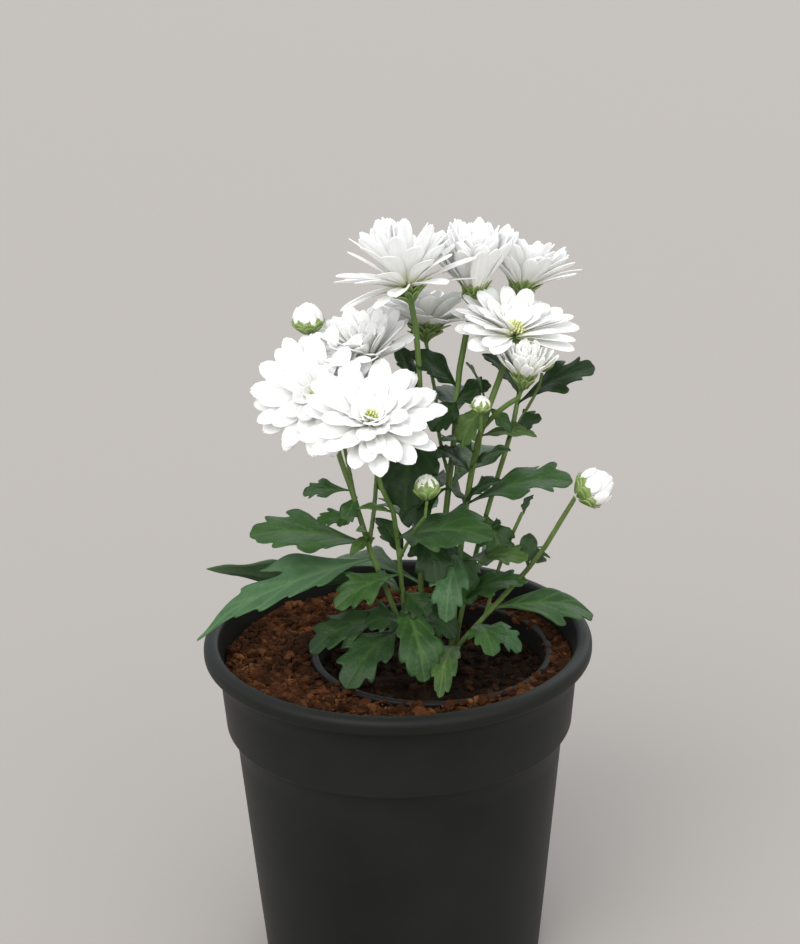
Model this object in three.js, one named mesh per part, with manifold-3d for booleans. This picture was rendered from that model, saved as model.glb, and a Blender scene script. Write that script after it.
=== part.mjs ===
// Potted chrysanthemum: a small white-flowered plant in a nursery pot.
// Millimetres, +Z up. The origin is the middle of the pot's flat base.
// The outer pot holds coir mix, a thin inner liner pot and its root ball.
// Six shoots rise from the root ball and carry the flower heads, buds and leaves.
import * as THREE from 'three';
import { mergeVertices } from 'three/addons/utils/BufferGeometryUtils.js';
import Module from 'manifold-3d';

const wasm = await Module();
wasm.setup();

// ---- Driving dimensions ----
const POT_HEIGHT = 120;
const RIM_RADIUS = 65;
const RIM_INNER_RADIUS = 60;
const LIP_HEIGHT = 5.4;
const COLLAR_TOP_RADIUS = 60.3;
const COLLAR_FOOT_RADIUS = 58.5;
const COLLAR_FOOT_HEIGHT = 89.3;
const BODY_TOP_RADIUS = 55.7;
const BASE_RADIUS = 48;
const POT_WALL = 1.6;
const POT_FLOOR = 2.4;
const DRAIN_HOLE_COUNT = 6;
const DRAIN_HOLE_RADIUS = 3.5;
const DRAIN_RING_RADIUS = 34;

const LINER_MIDDLE = [11.5, 3.5];
const LINER_RIM_RADIUS = 41;
const LINER_FOOT_RADIUS = 31;
const LINER_RIM_HEIGHT = 112;
const LINER_FLOOR_HEIGHT = 42;
const LINER_WALL = 1.2;

const SOIL_HEIGHT = 110;
const ROOT_BALL_HEIGHT = 104;
const GAP = 0.3;

const STALK_SIDES = 6;
const RAY_COUNT = 14;
const HEAD_THICKNESS = 1.3;
const CUP_DEPTH = 5;
const LEAF_THICKNESS = 0.7;
const LEAF_FOLD = 0.16;
const LOBE_SWEEP = 0.1;

// Blade outline: share of the leaf's length, then share of its full half-width.
const LEAF_OUTLINE = [
  [0.0, 0.09], [0.2, 0.1], [0.32, 0.66], [0.45, 0.5], [0.6, 1.0], [0.74, 0.55], [0.84, 0.58], [1.0, 0.05],
];

// ---- Finishes ----
const finishes = {
  pot_plastic: { color: 0x23282a, roughness: 0.5 },
  liner_plastic: { color: 0x141516, roughness: 0.6 },
  coir_soil: { color: 0x5a2f20, roughness: 0.95 },
  root_soil: { color: 0x2a1812, roughness: 0.95 },
  stem_green: { color: 0x6f9a4e, roughness: 0.6 },
  leaf_green: { color: 0x2f5d3a, roughness: 0.55 },
  petal_white: { color: 0xf6f6f4, roughness: 0.6 },
  bud_green: { color: 0xb9cc93, roughness: 0.6 },
};

// ---- The plant's layout ----
// A head or bud stands on its base point and faces along its direction.
const heads = {
  left: { at: [-23.5, 0, 203], facing: [-0.2, -0.76, 0.6], spread: 23, rise: 6, middle: 7 },
  front: { at: [-7, -17, 199.5], facing: [0.05, -0.58, 0.8], spread: 23.5, rise: 6, middle: 7 },
  small: { at: [-8.5, 12, 212], facing: [-0.15, -0.3, 0.94], spread: 15, rise: 14, middle: 12 },
  top_left: { at: [5, 2, 238.5], facing: [-0.26, 0.12, 0.95], spread: 21, rise: 11, middle: 14 },
  top_middle: { at: [26.6, 16, 233], facing: [0, 0, 1], spread: 14.5, rise: 22, middle: 17 },
  top_right: { at: [42.5, 26, 231.5], facing: [0.24, 0.15, 0.95], spread: 15, rise: 15, middle: 12 },
  rear: { at: [11, 27, 218.5], facing: [0.05, 0.25, 0.96], spread: 19, rise: 8, middle: 10 },
  right: { at: [38, 3.5, 221.5], facing: [0.14, -0.28, 0.95], spread: 21.5, rise: 5, middle: 8 },
  half_open: { at: [41.5, -6, 211.5], facing: [0.1, -0.15, 1], spread: 6.5, rise: 7.5, middle: 7.5 },
};

const buds = {
  left: { at: [-27.1, 14, 220.5], facing: [-0.05, 0, 1], radius: 4.8, height: 10.5 },
  right_high: { at: [48.5, 9, 208], facing: [0.15, 0, 1], radius: 2.9, height: 7 },
  right_low: { at: [58.5, -10, 171.4], facing: [0.87, 0, 0.49], radius: 5.6, height: 13 },
  middle_small: { at: [27.8, -8, 199.6], facing: [0, -0.1, 1], radius: 2.8, height: 6 },
  front_round: { at: [10.1, -16, 173.7], facing: [0, 0, 1], radius: 3.8, height: 8.5 },
};

// Each shoot is one grown piece: a main stalk and its side stalks, ending in flower cups or under buds.
const shoots = {
  left: {
    left_main: {
      radius: 1.1,
      head: 'left',
      path: [[5, 0, 84], [4, 0, 112], [-3, 0, 134], [-9, -2, 152], [-13, -4, 169], [-18, -3, 185]],
    },
    left_front: {
      radius: 1.0,
      head: 'front',
      path: [[4, 0, 114], [2, -1, 132], [1, -4, 148], [-1, -9, 168], [-6, -13, 181]],
    },
    left_small: { radius: 0.9, head: 'small', path: [[-9, -2, 152], [-6, 5, 172], [-7, 11, 194]] },
    left_bud: { radius: 0.8, bud: 'left', path: [[-13, -4, 169], [-18, 8, 191], [-25, 13, 209]] },
    front_bud: { radius: 0.7, bud: 'front_round', path: [[1, -4, 148], [6, -11, 161]] },
  },
  top_left: {
    top_left_main: {
      radius: 1.1,
      head: 'top_left',
      path: [[8.5, 7, 84], [8.5, 7, 112], [8, 6, 140], [8.5, 7, 165], [8.8, 8, 189], [8.6, 6, 205], [7.8, 4, 220]],
    },
  },
  middle: {
    middle_main: {
      radius: 1.2,
      head: 'top_middle',
      path: [[13, 10.5, 84], [14, 10.5, 112], [15, 9, 140], [18, 9, 171], [20, 10, 188], [21, 12, 203], [24, 15, 219]],
    },
    middle_rear: { radius: 0.8, head: 'rear', path: [[18, 9, 171], [14.5, 15, 186], [13.5, 21, 202]] },
  },
  right: {
    right_main: {
      radius: 1.0,
      head: 'top_right',
      path: [[19, 10, 84], [20, 10, 112], [27, 10, 145], [33.7, 9, 171], [38, 10, 185], [41, 14, 197], [43, 22, 212]],
    },
    right_bud: { radius: 0.7, bud: 'right_high', path: [[38, 10, 185], [44, 9, 196]] },
  },
  right_middle: {
    right_middle_main: {
      radius: 1.2,
      head: 'right',
      path: [[17.5, 3, 84], [18, 3, 112], [21, 4, 145], [24.7, 5, 172], [28.3, 4, 190], [32, 4, 201]],
    },
    half_open_side: { radius: 1.0, head: 'half_open', path: [[28.3, 4, 190], [34, -1, 198], [39, -5, 203]] },
    middle_bud: { radius: 0.7, bud: 'middle_small', path: [[24.7, 5, 172], [27.5, -3, 187]] },
  },
  low_right: {
    low_right_main: {
      radius: 1.0,
      bud: 'right_low',
      path: [[12, -2, 84], [15, 0, 106], [29.4, 1, 125], [41.8, -2, 141], [50.3, -6, 155], [54.5, -9.5, 166]],
    },
    low_right_side: { radius: 0.8, path: [[29.4, 1, 125], [35, 4, 144], [42, 4, 161]] },
  },
};

// A leaf springs from a stalk at a height and reaches to its tip. Width is across the blade.
// Arch lifts the middle of the midrib, and roll turns the blade about its length in degrees.
const leaves = {
  left_upper: { stalk: 'left_main', height: 153, tip: [-47, -10, 161], width: 24, arch: 2, roll: -14 },
  left_great: { stalk: 'left_main', height: 147, tip: [-66, -20, 130.5], width: 29, arch: 4, roll: -14 },
  left_edge_on: { stalk: 'left_main', height: 141, tip: [-64, 14, 140], width: 19, arch: -4, roll: 16 },
  front_broad: { stalk: 'left_front', height: 156, tip: [30, -24, 164], width: 26, arch: 3, roll: 16 },
  right_upper: { stalk: 'right_middle_main', height: 163, tip: [57, -4, 175.5], width: 22, arch: 3, roll: 17 },
  right_top: { stalk: 'right_main', height: 195, tip: [65, 8, 209.5], width: 18, arch: 2, roll: 22 },
  front_hanging: { stalk: 'left_front', height: 131, tip: [8.7, -26, 115.5], width: 18, arch: 4, roll: 0 },
  right_low: { stalk: 'low_right_main', height: 127, tip: [66, 3, 126], width: 22, arch: 3, roll: 18 },
  behind_front: { stalk: 'top_left_main', height: 190, tip: [3, -10, 168], width: 25, arch: 5, roll: 0 },
  liner_left: { stalk: 'left_main', height: 127, tip: [-29, -13, 121], width: 17, arch: 3, roll: -20 },
  liner_front: { stalk: 'left_main', height: 121, tip: [-17, -29, 115.5], width: 20, arch: 4, roll: -10 },
  right_rear: { stalk: 'low_right_main', height: 118, tip: [41, -7, 116.5], width: 13, arch: 4, roll: 14 },
  front_small: { stalk: 'low_right_main', height: 113, tip: [13, -33, 114], width: 11, arch: 5, roll: 0 },
  back_great: { stalk: 'top_left_main', height: 150, tip: [2, 48, 150], width: 25, arch: 4, roll: 0 },
  back_right: { stalk: 'middle_main', height: 166, tip: [36, 42, 172], width: 21, arch: 3, roll: 0 },
  back_left: { stalk: 'top_left_main', height: 176, tip: [-20, 38, 176], width: 19, arch: 3, roll: 0 },
  back_low_right: { stalk: 'right_main', height: 136, tip: [50, 42, 130], width: 25, arch: 5, roll: 0 },
  back_low_left: { stalk: 'top_left_main', height: 134, tip: [-30, 42, 128], width: 25, arch: 5, roll: 0 },
  back_upper: { stalk: 'middle_main', height: 190, tip: [20, 42, 194], width: 16, arch: 2, roll: 0 },
  middle_hanging: { stalk: 'right_middle_main', height: 150, tip: [15.5, -20, 134], width: 14, arch: 4, roll: 0 },
  middle_upright: { stalk: 'top_left_main', height: 198, tip: [0.5, 13, 218], width: 10, arch: 1, roll: 0 },
  middle_left: { stalk: 'middle_main', height: 202, tip: [6, 8, 216], width: 13, arch: 1, roll: -40 },
  middle_right: { stalk: 'right_middle_main', height: 196, tip: [24, 4, 213], width: 9, arch: 1, roll: 0 },
  middle_front: { stalk: 'right_middle_main', height: 180, tip: [16, -5, 190], width: 12, arch: 2, roll: 0 },
  left_small_high: { stalk: 'left_main', height: 172, tip: [-30, -4, 172.5], width: 11, arch: 1, roll: -20 },
  left_small_low: { stalk: 'left_main', height: 163, tip: [-25, -12, 165], width: 9, arch: 1, roll: -20 },
  lower_left: { stalk: 'left_front', height: 142, tip: [-20, -16, 137], width: 15, arch: 3, roll: -20 },
  lower_front: { stalk: 'low_right_main', height: 121, tip: [31, -20, 122], width: 14, arch: 3, roll: 0 },
  right_edge: { stalk: 'low_right_main', height: 143, tip: [43.5, -6, 158], width: 7, arch: 1, roll: 0 },
  right_inner: { stalk: 'right_middle_main', height: 143, tip: [42, -11, 151], width: 15, arch: 2, roll: 14 },
  right_light: { stalk: 'right_middle_main', height: 187, tip: [46, 0, 189.5], width: 8, arch: 2, roll: 14 },
  centre_mass: { stalk: 'top_left_main', height: 156, tip: [13, -13, 144], width: 18, arch: 4, roll: 0 },
  centre_drooping: { stalk: 'right_middle_main', height: 199, tip: [21.5, -6, 188], width: 13, arch: 2, roll: 0 },
  centre_left: { stalk: 'middle_main', height: 168, tip: [2, 4, 158], width: 18, arch: 3, roll: -25 },
  centre_deep: { stalk: 'top_left_main', height: 172, tip: [24, 17, 160], width: 19, arch: 3, roll: 20 },
  foot_left: { stalk: 'left_front', height: 122, tip: [-10, -9, 127.5], width: 14, arch: 3, roll: -25 },
};

// ---- Geometry helpers ----
function vector([x, y, z]) {
  return new THREE.Vector3(x, y, z);
}

// Turn a closed three.js geometry into a solid for joining and cutting, facing out.
function toSolid(geometry) {
  const bare = geometry.clone();
  bare.deleteAttribute('normal');
  bare.deleteAttribute('uv');
  const merged = mergeVertices(bare, 1e-4);
  const build = () => new wasm.Manifold(new wasm.Mesh({
    numProp: 3,
    vertProperties: new Float32Array(merged.attributes.position.array),
    triVerts: new Uint32Array(merged.index.array),
  }));
  let solid = build();
  if (solid.volume() < 0) {
    const corners = merged.index.array;
    for (let i = 0; i < corners.length; i += 3) {
      [corners[i], corners[i + 1]] = [corners[i + 1], corners[i]];
    }
    solid = build();
  }
  return solid;
}

function toGeometry(solid) {
  const mesh = solid.getMesh();
  const points = [];
  for (let i = 0; i < mesh.numVert; i += 1) {
    const start = i * mesh.numProp;
    points.push(mesh.vertProperties[start], mesh.vertProperties[start + 1], mesh.vertProperties[start + 2]);
  }
  const geometry = new THREE.BufferGeometry();
  geometry.setAttribute('position', new THREE.Float32BufferAttribute(points, 3));
  geometry.setIndex(Array.from(mesh.triVerts));
  geometry.computeVertexNormals();
  return geometry;
}

// Spin a closed profile of [radius, height] pairs about the vertical axis.
function revolve(profile, sides, middle = [0, 0]) {
  const points = profile.map(([radius, height]) => new THREE.Vector2(radius, height));
  const geometry = new THREE.LatheGeometry(points, sides);
  geometry.rotateX(Math.PI / 2);
  geometry.translate(middle[0], middle[1], 0);
  return toSolid(geometry);
}

// A round rod that follows a curve.
function rod(curve, radius, steps) {
  const outline = new THREE.Shape();
  for (let i = 0; i < STALK_SIDES; i += 1) {
    const angle = (i / STALK_SIDES) * Math.PI * 2;
    const move = i === 0 ? 'moveTo' : 'lineTo';
    outline[move](radius * Math.cos(angle), radius * Math.sin(angle));
  }
  outline.closePath();
  return toSolid(new THREE.ExtrudeGeometry(outline, { steps, bevelEnabled: false, extrudePath: curve }));
}

// Stand a shape built along +Z on a point, facing along a direction.
function stand(geometry, at, facing) {
  const turn = new THREE.Quaternion().setFromUnitVectors(new THREE.Vector3(0, 0, 1), vector(facing).normalize());
  geometry.applyQuaternion(turn);
  geometry.translate(at[0], at[1], at[2]);
  return toSolid(geometry);
}

// ---- Pots and soil ----
function bodyRadius(height) {
  return BASE_RADIUS + (BODY_TOP_RADIUS - BASE_RADIUS) * (height / COLLAR_FOOT_HEIGHT);
}

function outerPot() {
  const lipFoot = POT_HEIGHT - LIP_HEIGHT;
  const shelf = COLLAR_FOOT_HEIGHT + 1;
  const profile = [
    [0, 0],
    [BASE_RADIUS - 1, 0],
    [BASE_RADIUS, 1],
    [BODY_TOP_RADIUS, COLLAR_FOOT_HEIGHT - 0.6],
    [COLLAR_FOOT_RADIUS - 0.8, COLLAR_FOOT_HEIGHT],
    [COLLAR_FOOT_RADIUS, shelf],
    [COLLAR_TOP_RADIUS, lipFoot],
    [RIM_RADIUS - 0.9, lipFoot],
    [RIM_RADIUS, lipFoot + 1],
    [RIM_RADIUS, POT_HEIGHT - 1.6],
    [RIM_RADIUS - 0.6, POT_HEIGHT - 0.5],
    [RIM_RADIUS - 1.8, POT_HEIGHT],
    [RIM_INNER_RADIUS + 1.2, POT_HEIGHT],
    [RIM_INNER_RADIUS, POT_HEIGHT - 1.2],
    [COLLAR_TOP_RADIUS - POT_WALL, lipFoot - 1],
    [COLLAR_FOOT_RADIUS - POT_WALL, shelf + 1],
    [BODY_TOP_RADIUS - POT_WALL, COLLAR_FOOT_HEIGHT],
    [bodyRadius(POT_FLOOR) - POT_WALL, POT_FLOOR],
    [0, POT_FLOOR],
  ];
  let pot = revolve(profile, 48);
  for (let i = 0; i < DRAIN_HOLE_COUNT; i += 1) {
    const angle = ((i + 0.5) / DRAIN_HOLE_COUNT) * Math.PI * 2;
    const middle = [DRAIN_RING_RADIUS * Math.cos(angle), DRAIN_RING_RADIUS * Math.sin(angle)];
    const hole = [[0, -1], [DRAIN_HOLE_RADIUS, -1], [DRAIN_HOLE_RADIUS, POT_FLOOR + 1], [0, POT_FLOOR + 1]];
    pot = pot.subtract(revolve(hole, 10, middle));
  }
  return pot;
}

function linerPot() {
  const profile = [
    [0, LINER_FLOOR_HEIGHT],
    [LINER_FOOT_RADIUS, LINER_FLOOR_HEIGHT],
    [LINER_RIM_RADIUS - 1.4, LINER_RIM_HEIGHT - 3],
    [LINER_RIM_RADIUS, LINER_RIM_HEIGHT - 3],
    [LINER_RIM_RADIUS, LINER_RIM_HEIGHT],
    [LINER_RIM_RADIUS - 1.4 - LINER_WALL, LINER_RIM_HEIGHT],
    [LINER_FOOT_RADIUS - LINER_WALL, LINER_FLOOR_HEIGHT + LINER_WALL],
    [0, LINER_FLOOR_HEIGHT + LINER_WALL],
  ];
  return revolve(profile, 40, LINER_MIDDLE);
}

// The space the liner takes up in the coir around it, with a fine gap all round.
function linerPocket() {
  const profile = [
    [0, LINER_FLOOR_HEIGHT - GAP],
    [LINER_FOOT_RADIUS + GAP, LINER_FLOOR_HEIGHT - GAP],
    [LINER_RIM_RADIUS - 1.4 + GAP, LINER_RIM_HEIGHT - 3 - GAP],
    [LINER_RIM_RADIUS + GAP, LINER_RIM_HEIGHT - 3 - GAP],
    [LINER_RIM_RADIUS + GAP, LINER_RIM_HEIGHT + 10],
    [0, LINER_RIM_HEIGHT + 10],
  ];
  return revolve(profile, 40, LINER_MIDDLE);
}

function pottingSoil() {
  const wall = POT_WALL + GAP;
  const profile = [
    [0, POT_FLOOR + GAP],
    [bodyRadius(POT_FLOOR) - wall - 0.2, POT_FLOOR + GAP],
    [BODY_TOP_RADIUS - wall - 0.1, COLLAR_FOOT_HEIGHT],
    [COLLAR_FOOT_RADIUS - wall - 0.1, COLLAR_FOOT_HEIGHT + 2.5],
    [COLLAR_TOP_RADIUS - wall - 0.4, SOIL_HEIGHT + 0.8],
    [COLLAR_TOP_RADIUS - wall - 5, SOIL_HEIGHT],
    [LINER_RIM_RADIUS, SOIL_HEIGHT - 1],
    [0, SOIL_HEIGHT - 1],
  ];
  return revolve(profile, 48).subtract(linerPocket());
}

function rootBall() {
  const wall = LINER_WALL + GAP;
  const slope = (LINER_RIM_RADIUS - 1.4 - LINER_FOOT_RADIUS) / (LINER_RIM_HEIGHT - LINER_FLOOR_HEIGHT);
  const topRadius = LINER_FOOT_RADIUS + slope * (ROOT_BALL_HEIGHT - LINER_FLOOR_HEIGHT) - wall - 0.2;
  const profile = [
    [0, LINER_FLOOR_HEIGHT + LINER_WALL + GAP],
    [LINER_FOOT_RADIUS - wall - 0.2, LINER_FLOOR_HEIGHT + LINER_WALL + GAP],
    [topRadius, ROOT_BALL_HEIGHT],
    [topRadius * 0.6, ROOT_BALL_HEIGHT + 1],
    [0, ROOT_BALL_HEIGHT + 2],
  ];
  return revolve(profile, 36, LINER_MIDDLE);
}

// ---- Flower heads and buds ----
// A head is a star of pointed rays rising from its base, filled in the middle by shorter rays.
function headGeometry({ spread, rise, middle }, grow) {
  const around = RAY_COUNT * 2;
  const thickness = HEAD_THICKNESS + grow * 2;
  const baseRadius = Math.min(3.4, spread * 0.4) + grow;
  const ring = (radiusAt, heightAt) => {
    const points = [];
    for (let i = 0; i < around; i += 1) {
      const angle = (i / around) * Math.PI * 2;
      const reach = i % 2 === 0 ? 1 : 0.78;
      const radius = radiusAt(reach);
      points.push([radius * Math.cos(angle), radius * Math.sin(angle), heightAt(reach)]);
    }
    return points;
  };
  const rings = [
    ring(() => baseRadius, () => -grow),
    ring((reach) => spread * reach + grow, (reach) => rise * reach - grow),
    ring((reach) => spread * reach + grow, (reach) => rise * reach - grow + thickness),
    ring(() => spread * 0.45, () => middle * 0.9 + grow),
  ];
  const points = [[0, 0, -grow], ...rings.flat(), [0, 0, middle + grow]];
  const last = points.length - 1;
  const faces = [];
  for (let i = 0; i < around; i += 1) {
    const next = (i + 1) % around;
    faces.push(0, 1 + next, 1 + i);
    for (let level = 0; level < rings.length - 1; level += 1) {
      const low = 1 + level * around;
      const high = low + around;
      faces.push(low + i, low + next, high + next, low + i, high + next, high + i);
    }
    const top = 1 + (rings.length - 1) * around;
    faces.push(last, top + i, top + next);
  }
  return indexed(points, faces);
}

function indexed(points, faces) {
  const geometry = new THREE.BufferGeometry();
  geometry.setAttribute('position', new THREE.Float32BufferAttribute(points.flat(), 3));
  geometry.setIndex(faces);
  return geometry;
}

// A closed egg of folded petals on a green cup.
function budGeometry({ radius, height }, grow) {
  const outline = [[0, 0], [0.5, 0.02], [0.85, 0.18], [1, 0.42], [0.88, 0.7], [0.5, 0.93], [0, 1]];
  const points = outline.map(([across, up], i) => {
    const inside = i === 0 || i === outline.length - 1;
    return new THREE.Vector2(inside ? 0 : across * radius + grow, up * (height + grow * 2) - grow);
  });
  const geometry = new THREE.LatheGeometry(points, 10);
  geometry.rotateX(Math.PI / 2);
  return geometry;
}

// The green cup under a flower head, part of the stalk that carries it.
function flowerCup({ at, facing, spread }, grow) {
  const radius = Math.min(4.4, spread * 0.55) + grow;
  const outline = [[0, -CUP_DEPTH - grow], [1.4 + grow, -CUP_DEPTH - grow], [radius, -1.6], [radius - 0.3, -GAP], [0, -GAP]];
  const geometry = new THREE.LatheGeometry(outline.map(([x, y]) => new THREE.Vector2(x, y)), 10);
  geometry.rotateX(Math.PI / 2);
  return stand(geometry, at, facing);
}

// ---- Stalks ----
// A stalk's whole path, led on to the cup or bud it carries.
function stalkPath({ path, head, bud }) {
  const points = path.map(vector);
  const end = head ? heads[head] : buds[bud];
  if (end) {
    const back = head ? CUP_DEPTH - 1.5 : GAP * 2;
    const along = vector(end.facing).normalize();
    points.push(vector(end.at).addScaledVector(along, -back - 4));
    points.push(vector(end.at).addScaledVector(along, -back));
  }
  return points;
}

const stalkCurves = {};
for (const stalks of Object.values(shoots)) {
  for (const [name, stalk] of Object.entries(stalks)) {
    stalkCurves[name] = new THREE.CatmullRomCurve3(stalkPath(stalk), false, 'centripetal');
  }
}

function shoot(stalks, grow) {
  let whole = null;
  for (const [name, stalk] of Object.entries(stalks)) {
    const curve = stalkCurves[name];
    const steps = Math.max(5, Math.round(curve.getLength() / 11));
    const parts = [rod(curve, stalk.radius + grow, steps)];
    if (stalk.head) {
      parts.push(flowerCup(heads[stalk.head], grow));
    }
    for (const part of parts) {
      whole = whole ? whole.add(part) : part;
    }
  }
  return whole;
}

function pointAtHeight(curve, height) {
  const samples = curve.getPoints(200);
  return samples.reduce((best, point) => (
    Math.abs(point.z - height) < Math.abs(best.z - height) ? point : best
  ));
}

// ---- Leaves ----
// A lobed blade: a folded slab whose edges swing in and out along an arched midrib.
function leaf({ stalk, height, tip, width, arch, roll }, grow) {
  const base = pointAtHeight(stalkCurves[stalk], height);
  const end = vector(tip);
  const chord = end.clone().sub(base).normalize();
  const across = new THREE.Vector3().crossVectors(chord, new THREE.Vector3(0, 0, 1)).normalize();
  across.applyAxisAngle(chord, THREE.MathUtils.degToRad(roll));
  const normal = new THREE.Vector3().crossVectors(across, chord);
  const reach = end.distanceTo(base);
  const halfWidth = width / 2;
  const half = LEAF_THICKNESS / 2 + grow;
  const points = [];
  for (const [along, share] of LEAF_OUTLINE) {
    const spread = halfWidth * share + grow;
    const lift = (position) => arch * 4 * position * (1 - position);
    const edgeAt = along + (along > 0.25 && along < 1 ? LOBE_SWEEP * share : 0);
    for (const side of [-1, 0, 1]) {
      const position = side === 0 ? along : edgeAt;
      const middle = base.clone().addScaledVector(chord, reach * position + (along === 1 ? grow : 0));
      middle.addScaledVector(across, side * spread);
      middle.addScaledVector(normal, lift(position) + Math.abs(side) * spread * LEAF_FOLD);
      points.push(middle.clone().addScaledVector(normal, half).toArray());
      points.push(middle.clone().addScaledVector(normal, -half).toArray());
    }
  }
  const stations = LEAF_OUTLINE.length;
  const loop = [0, 2, 4, 5, 3, 1];
  const faces = [0, 1, 3, 0, 3, 2, 2, 3, 5, 2, 5, 4];
  for (let i = 0; i < stations - 1; i += 1) {
    loop.forEach((corner, j) => {
      const near = i * 6 + corner;
      const nearNext = i * 6 + loop[(j + 1) % 6];
      faces.push(near, nearNext, nearNext + 6, near, nearNext + 6, near + 6);
    });
  }
  const last = (stations - 1) * 6;
  faces.push(last, last + 3, last + 1, last, last + 2, last + 3, last + 2, last + 5, last + 3, last + 2, last + 4, last + 5);
  return toSolid(indexed(points, faces));
}

// ---- Assembly ----
const group = new THREE.Group();
group.name = 'potted_chrysanthemum';
const placed = [];

function addMesh(name, solid, finish) {
  const { color, roughness } = finishes[finish];
  const material = new THREE.MeshStandardMaterial({ color, roughness, metalness: 0 });
  material.name = finish;
  const mesh = new THREE.Mesh(toGeometry(solid), material);
  mesh.name = name;
  group.add(mesh);
}

function boxesMeet(a, b) {
  return [0, 1, 2].every((axis) => a.min[axis] <= b.max[axis] && b.min[axis] <= a.max[axis]);
}

// Add a piece that keeps a fine gap from every piece placed before it.
function place(name, build, finish) {
  let solid = build(0);
  const box = solid.boundingBox();
  for (const other of placed) {
    if (boxesMeet(box, other.box)) {
      solid = solid.subtract(other.solid);
    }
  }
  const bodies = solid.decompose().sort((a, b) => b.volume() - a.volume());
  solid = bodies[0];
  const envelope = build(GAP);
  placed.push({ solid: envelope, box: envelope.boundingBox() });
  addMesh(name, solid, finish);
}

for (const [name, stalks] of Object.entries(shoots)) {
  place(`shoot_${name}`, (grow) => shoot(stalks, grow), 'stem_green');
}
for (const [name, head] of Object.entries(heads)) {
  place(`flower_${name}`, (grow) => stand(headGeometry(head, grow), head.at, head.facing), 'petal_white');
}
for (const [name, bud] of Object.entries(buds)) {
  place(`bud_${name}`, (grow) => stand(budGeometry(bud, grow), bud.at, bud.facing), 'bud_green');
}
for (const [name, blade] of Object.entries(leaves)) {
  place(`leaf_${name}`, (grow) => leaf(blade, grow), 'leaf_green');
}
place('outer_pot', outerPot, 'pot_plastic');
place('liner_pot', linerPot, 'liner_plastic');
place('root_ball', rootBall, 'root_soil');
place('potting_soil', pottingSoil, 'coir_soil');

export default group;
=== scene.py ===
# %% [markdown]
# # A small white chrysanthemum in a nursery pot
# The plant is built around a fixed frame: one plain CAD solid for every pot, shoot, leaf, bud and flower.
# Each solid is measured here and replaced by a finer piece of the same size in the same place.

import math
import random

import bmesh
import bpy
import numpy as np
from mathutils import Matrix, Vector, noise


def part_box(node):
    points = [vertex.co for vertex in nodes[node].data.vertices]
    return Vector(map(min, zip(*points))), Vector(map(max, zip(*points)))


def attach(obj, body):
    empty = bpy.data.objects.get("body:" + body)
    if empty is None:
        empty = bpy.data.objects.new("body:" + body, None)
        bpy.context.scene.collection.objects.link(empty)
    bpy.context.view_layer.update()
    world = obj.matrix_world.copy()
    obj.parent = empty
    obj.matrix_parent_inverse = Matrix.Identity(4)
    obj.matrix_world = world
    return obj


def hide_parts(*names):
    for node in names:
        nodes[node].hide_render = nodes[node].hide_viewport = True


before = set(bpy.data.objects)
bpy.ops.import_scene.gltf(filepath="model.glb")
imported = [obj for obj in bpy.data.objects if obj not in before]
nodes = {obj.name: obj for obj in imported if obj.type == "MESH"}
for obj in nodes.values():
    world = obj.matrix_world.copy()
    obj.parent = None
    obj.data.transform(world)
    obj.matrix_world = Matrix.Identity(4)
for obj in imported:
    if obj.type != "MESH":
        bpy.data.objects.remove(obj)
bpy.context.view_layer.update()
MM = 0.001
print("nodes in the frame:", len(nodes))

# %% [markdown]
# ## The view
# A plant in a pot is usually seen from a little above, as a person standing at a table sees it.
# The camera looks down about twenty degrees with a long lens, which keeps the pot's sides nearly straight.
# It is also rolled by one degree, as a view held by hand mostly is. The camera is built from three
# directions (ahead, right and up), which is easier to get right than three turning angles.

# %% Camera
VIEW_DISTANCE = 640.2 * MM
VIEW_PITCH = math.radians(20.10)
VIEW_ROLL = math.radians(-0.99)
VIEW_TARGET = Vector((1.69, 0.0, 177.17)) * MM


def look(target, distance, pitch, roll):
    """Place a camera that looks along +Y and down by the pitch."""
    ahead = Vector((0.0, math.cos(pitch), -math.sin(pitch)))
    level = Vector((1.0, 0.0, 0.0))
    rise = level.cross(ahead)
    right = level * math.cos(roll) + rise * math.sin(roll)
    up = rise * math.cos(roll) - level * math.sin(roll)
    camera = bpy.data.objects.new("camera", bpy.data.cameras.new("camera"))
    bpy.context.scene.collection.objects.link(camera)
    turn = Matrix((right, up, -ahead)).transposed().to_4x4()
    camera.matrix_world = Matrix.Translation(target - ahead * distance) @ turn
    camera.data.lens = 75.0
    camera.data.sensor_width = 36.0
    return camera


bpy.context.scene.camera = look(VIEW_TARGET, VIEW_DISTANCE, VIEW_PITCH, VIEW_ROLL)
print("camera stands", round(VIEW_DISTANCE, 3), "m away")

# %% [markdown]
# ## Mesh helpers
# Petals and leaves are thin sheets with a real thickness, so most pieces here are grids of points.
# They could be sculpted by hand, but a plant has hundreds of them, all alike and all a little different.
# Numpy works out all the points of a grid at once, and one function turns points and faces into an object.
# Values that a finish needs later, such as how far along a petal a point lies, are stored on the points.


# %% Make a piece from points and faces
def make_piece(name, points, faces, finish, marks=None, replaces=(), smooth=True):
    """A mesh object that rides on the frame. marks are per-point values for the finish."""
    mesh = bpy.data.meshes.new(name)
    mesh.from_pydata([tuple(p) for p in points], [], [tuple(int(i) for i in f) for f in faces])
    for mark, values in (marks or {}).items():
        layer = mesh.attributes.new(mark, "FLOAT", "POINT")
        layer.data.foreach_set("value", np.asarray(values, dtype=np.float32))
    mesh.validate()
    mesh.shade_smooth() if smooth else mesh.shade_flat()
    mesh.materials.append(finish)
    piece = bpy.data.objects.new(name, mesh)
    bpy.context.scene.collection.objects.link(piece)
    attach(piece, "root")
    if replaces:
        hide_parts(*replaces)
    return piece


print("piece maker ready")

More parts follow.
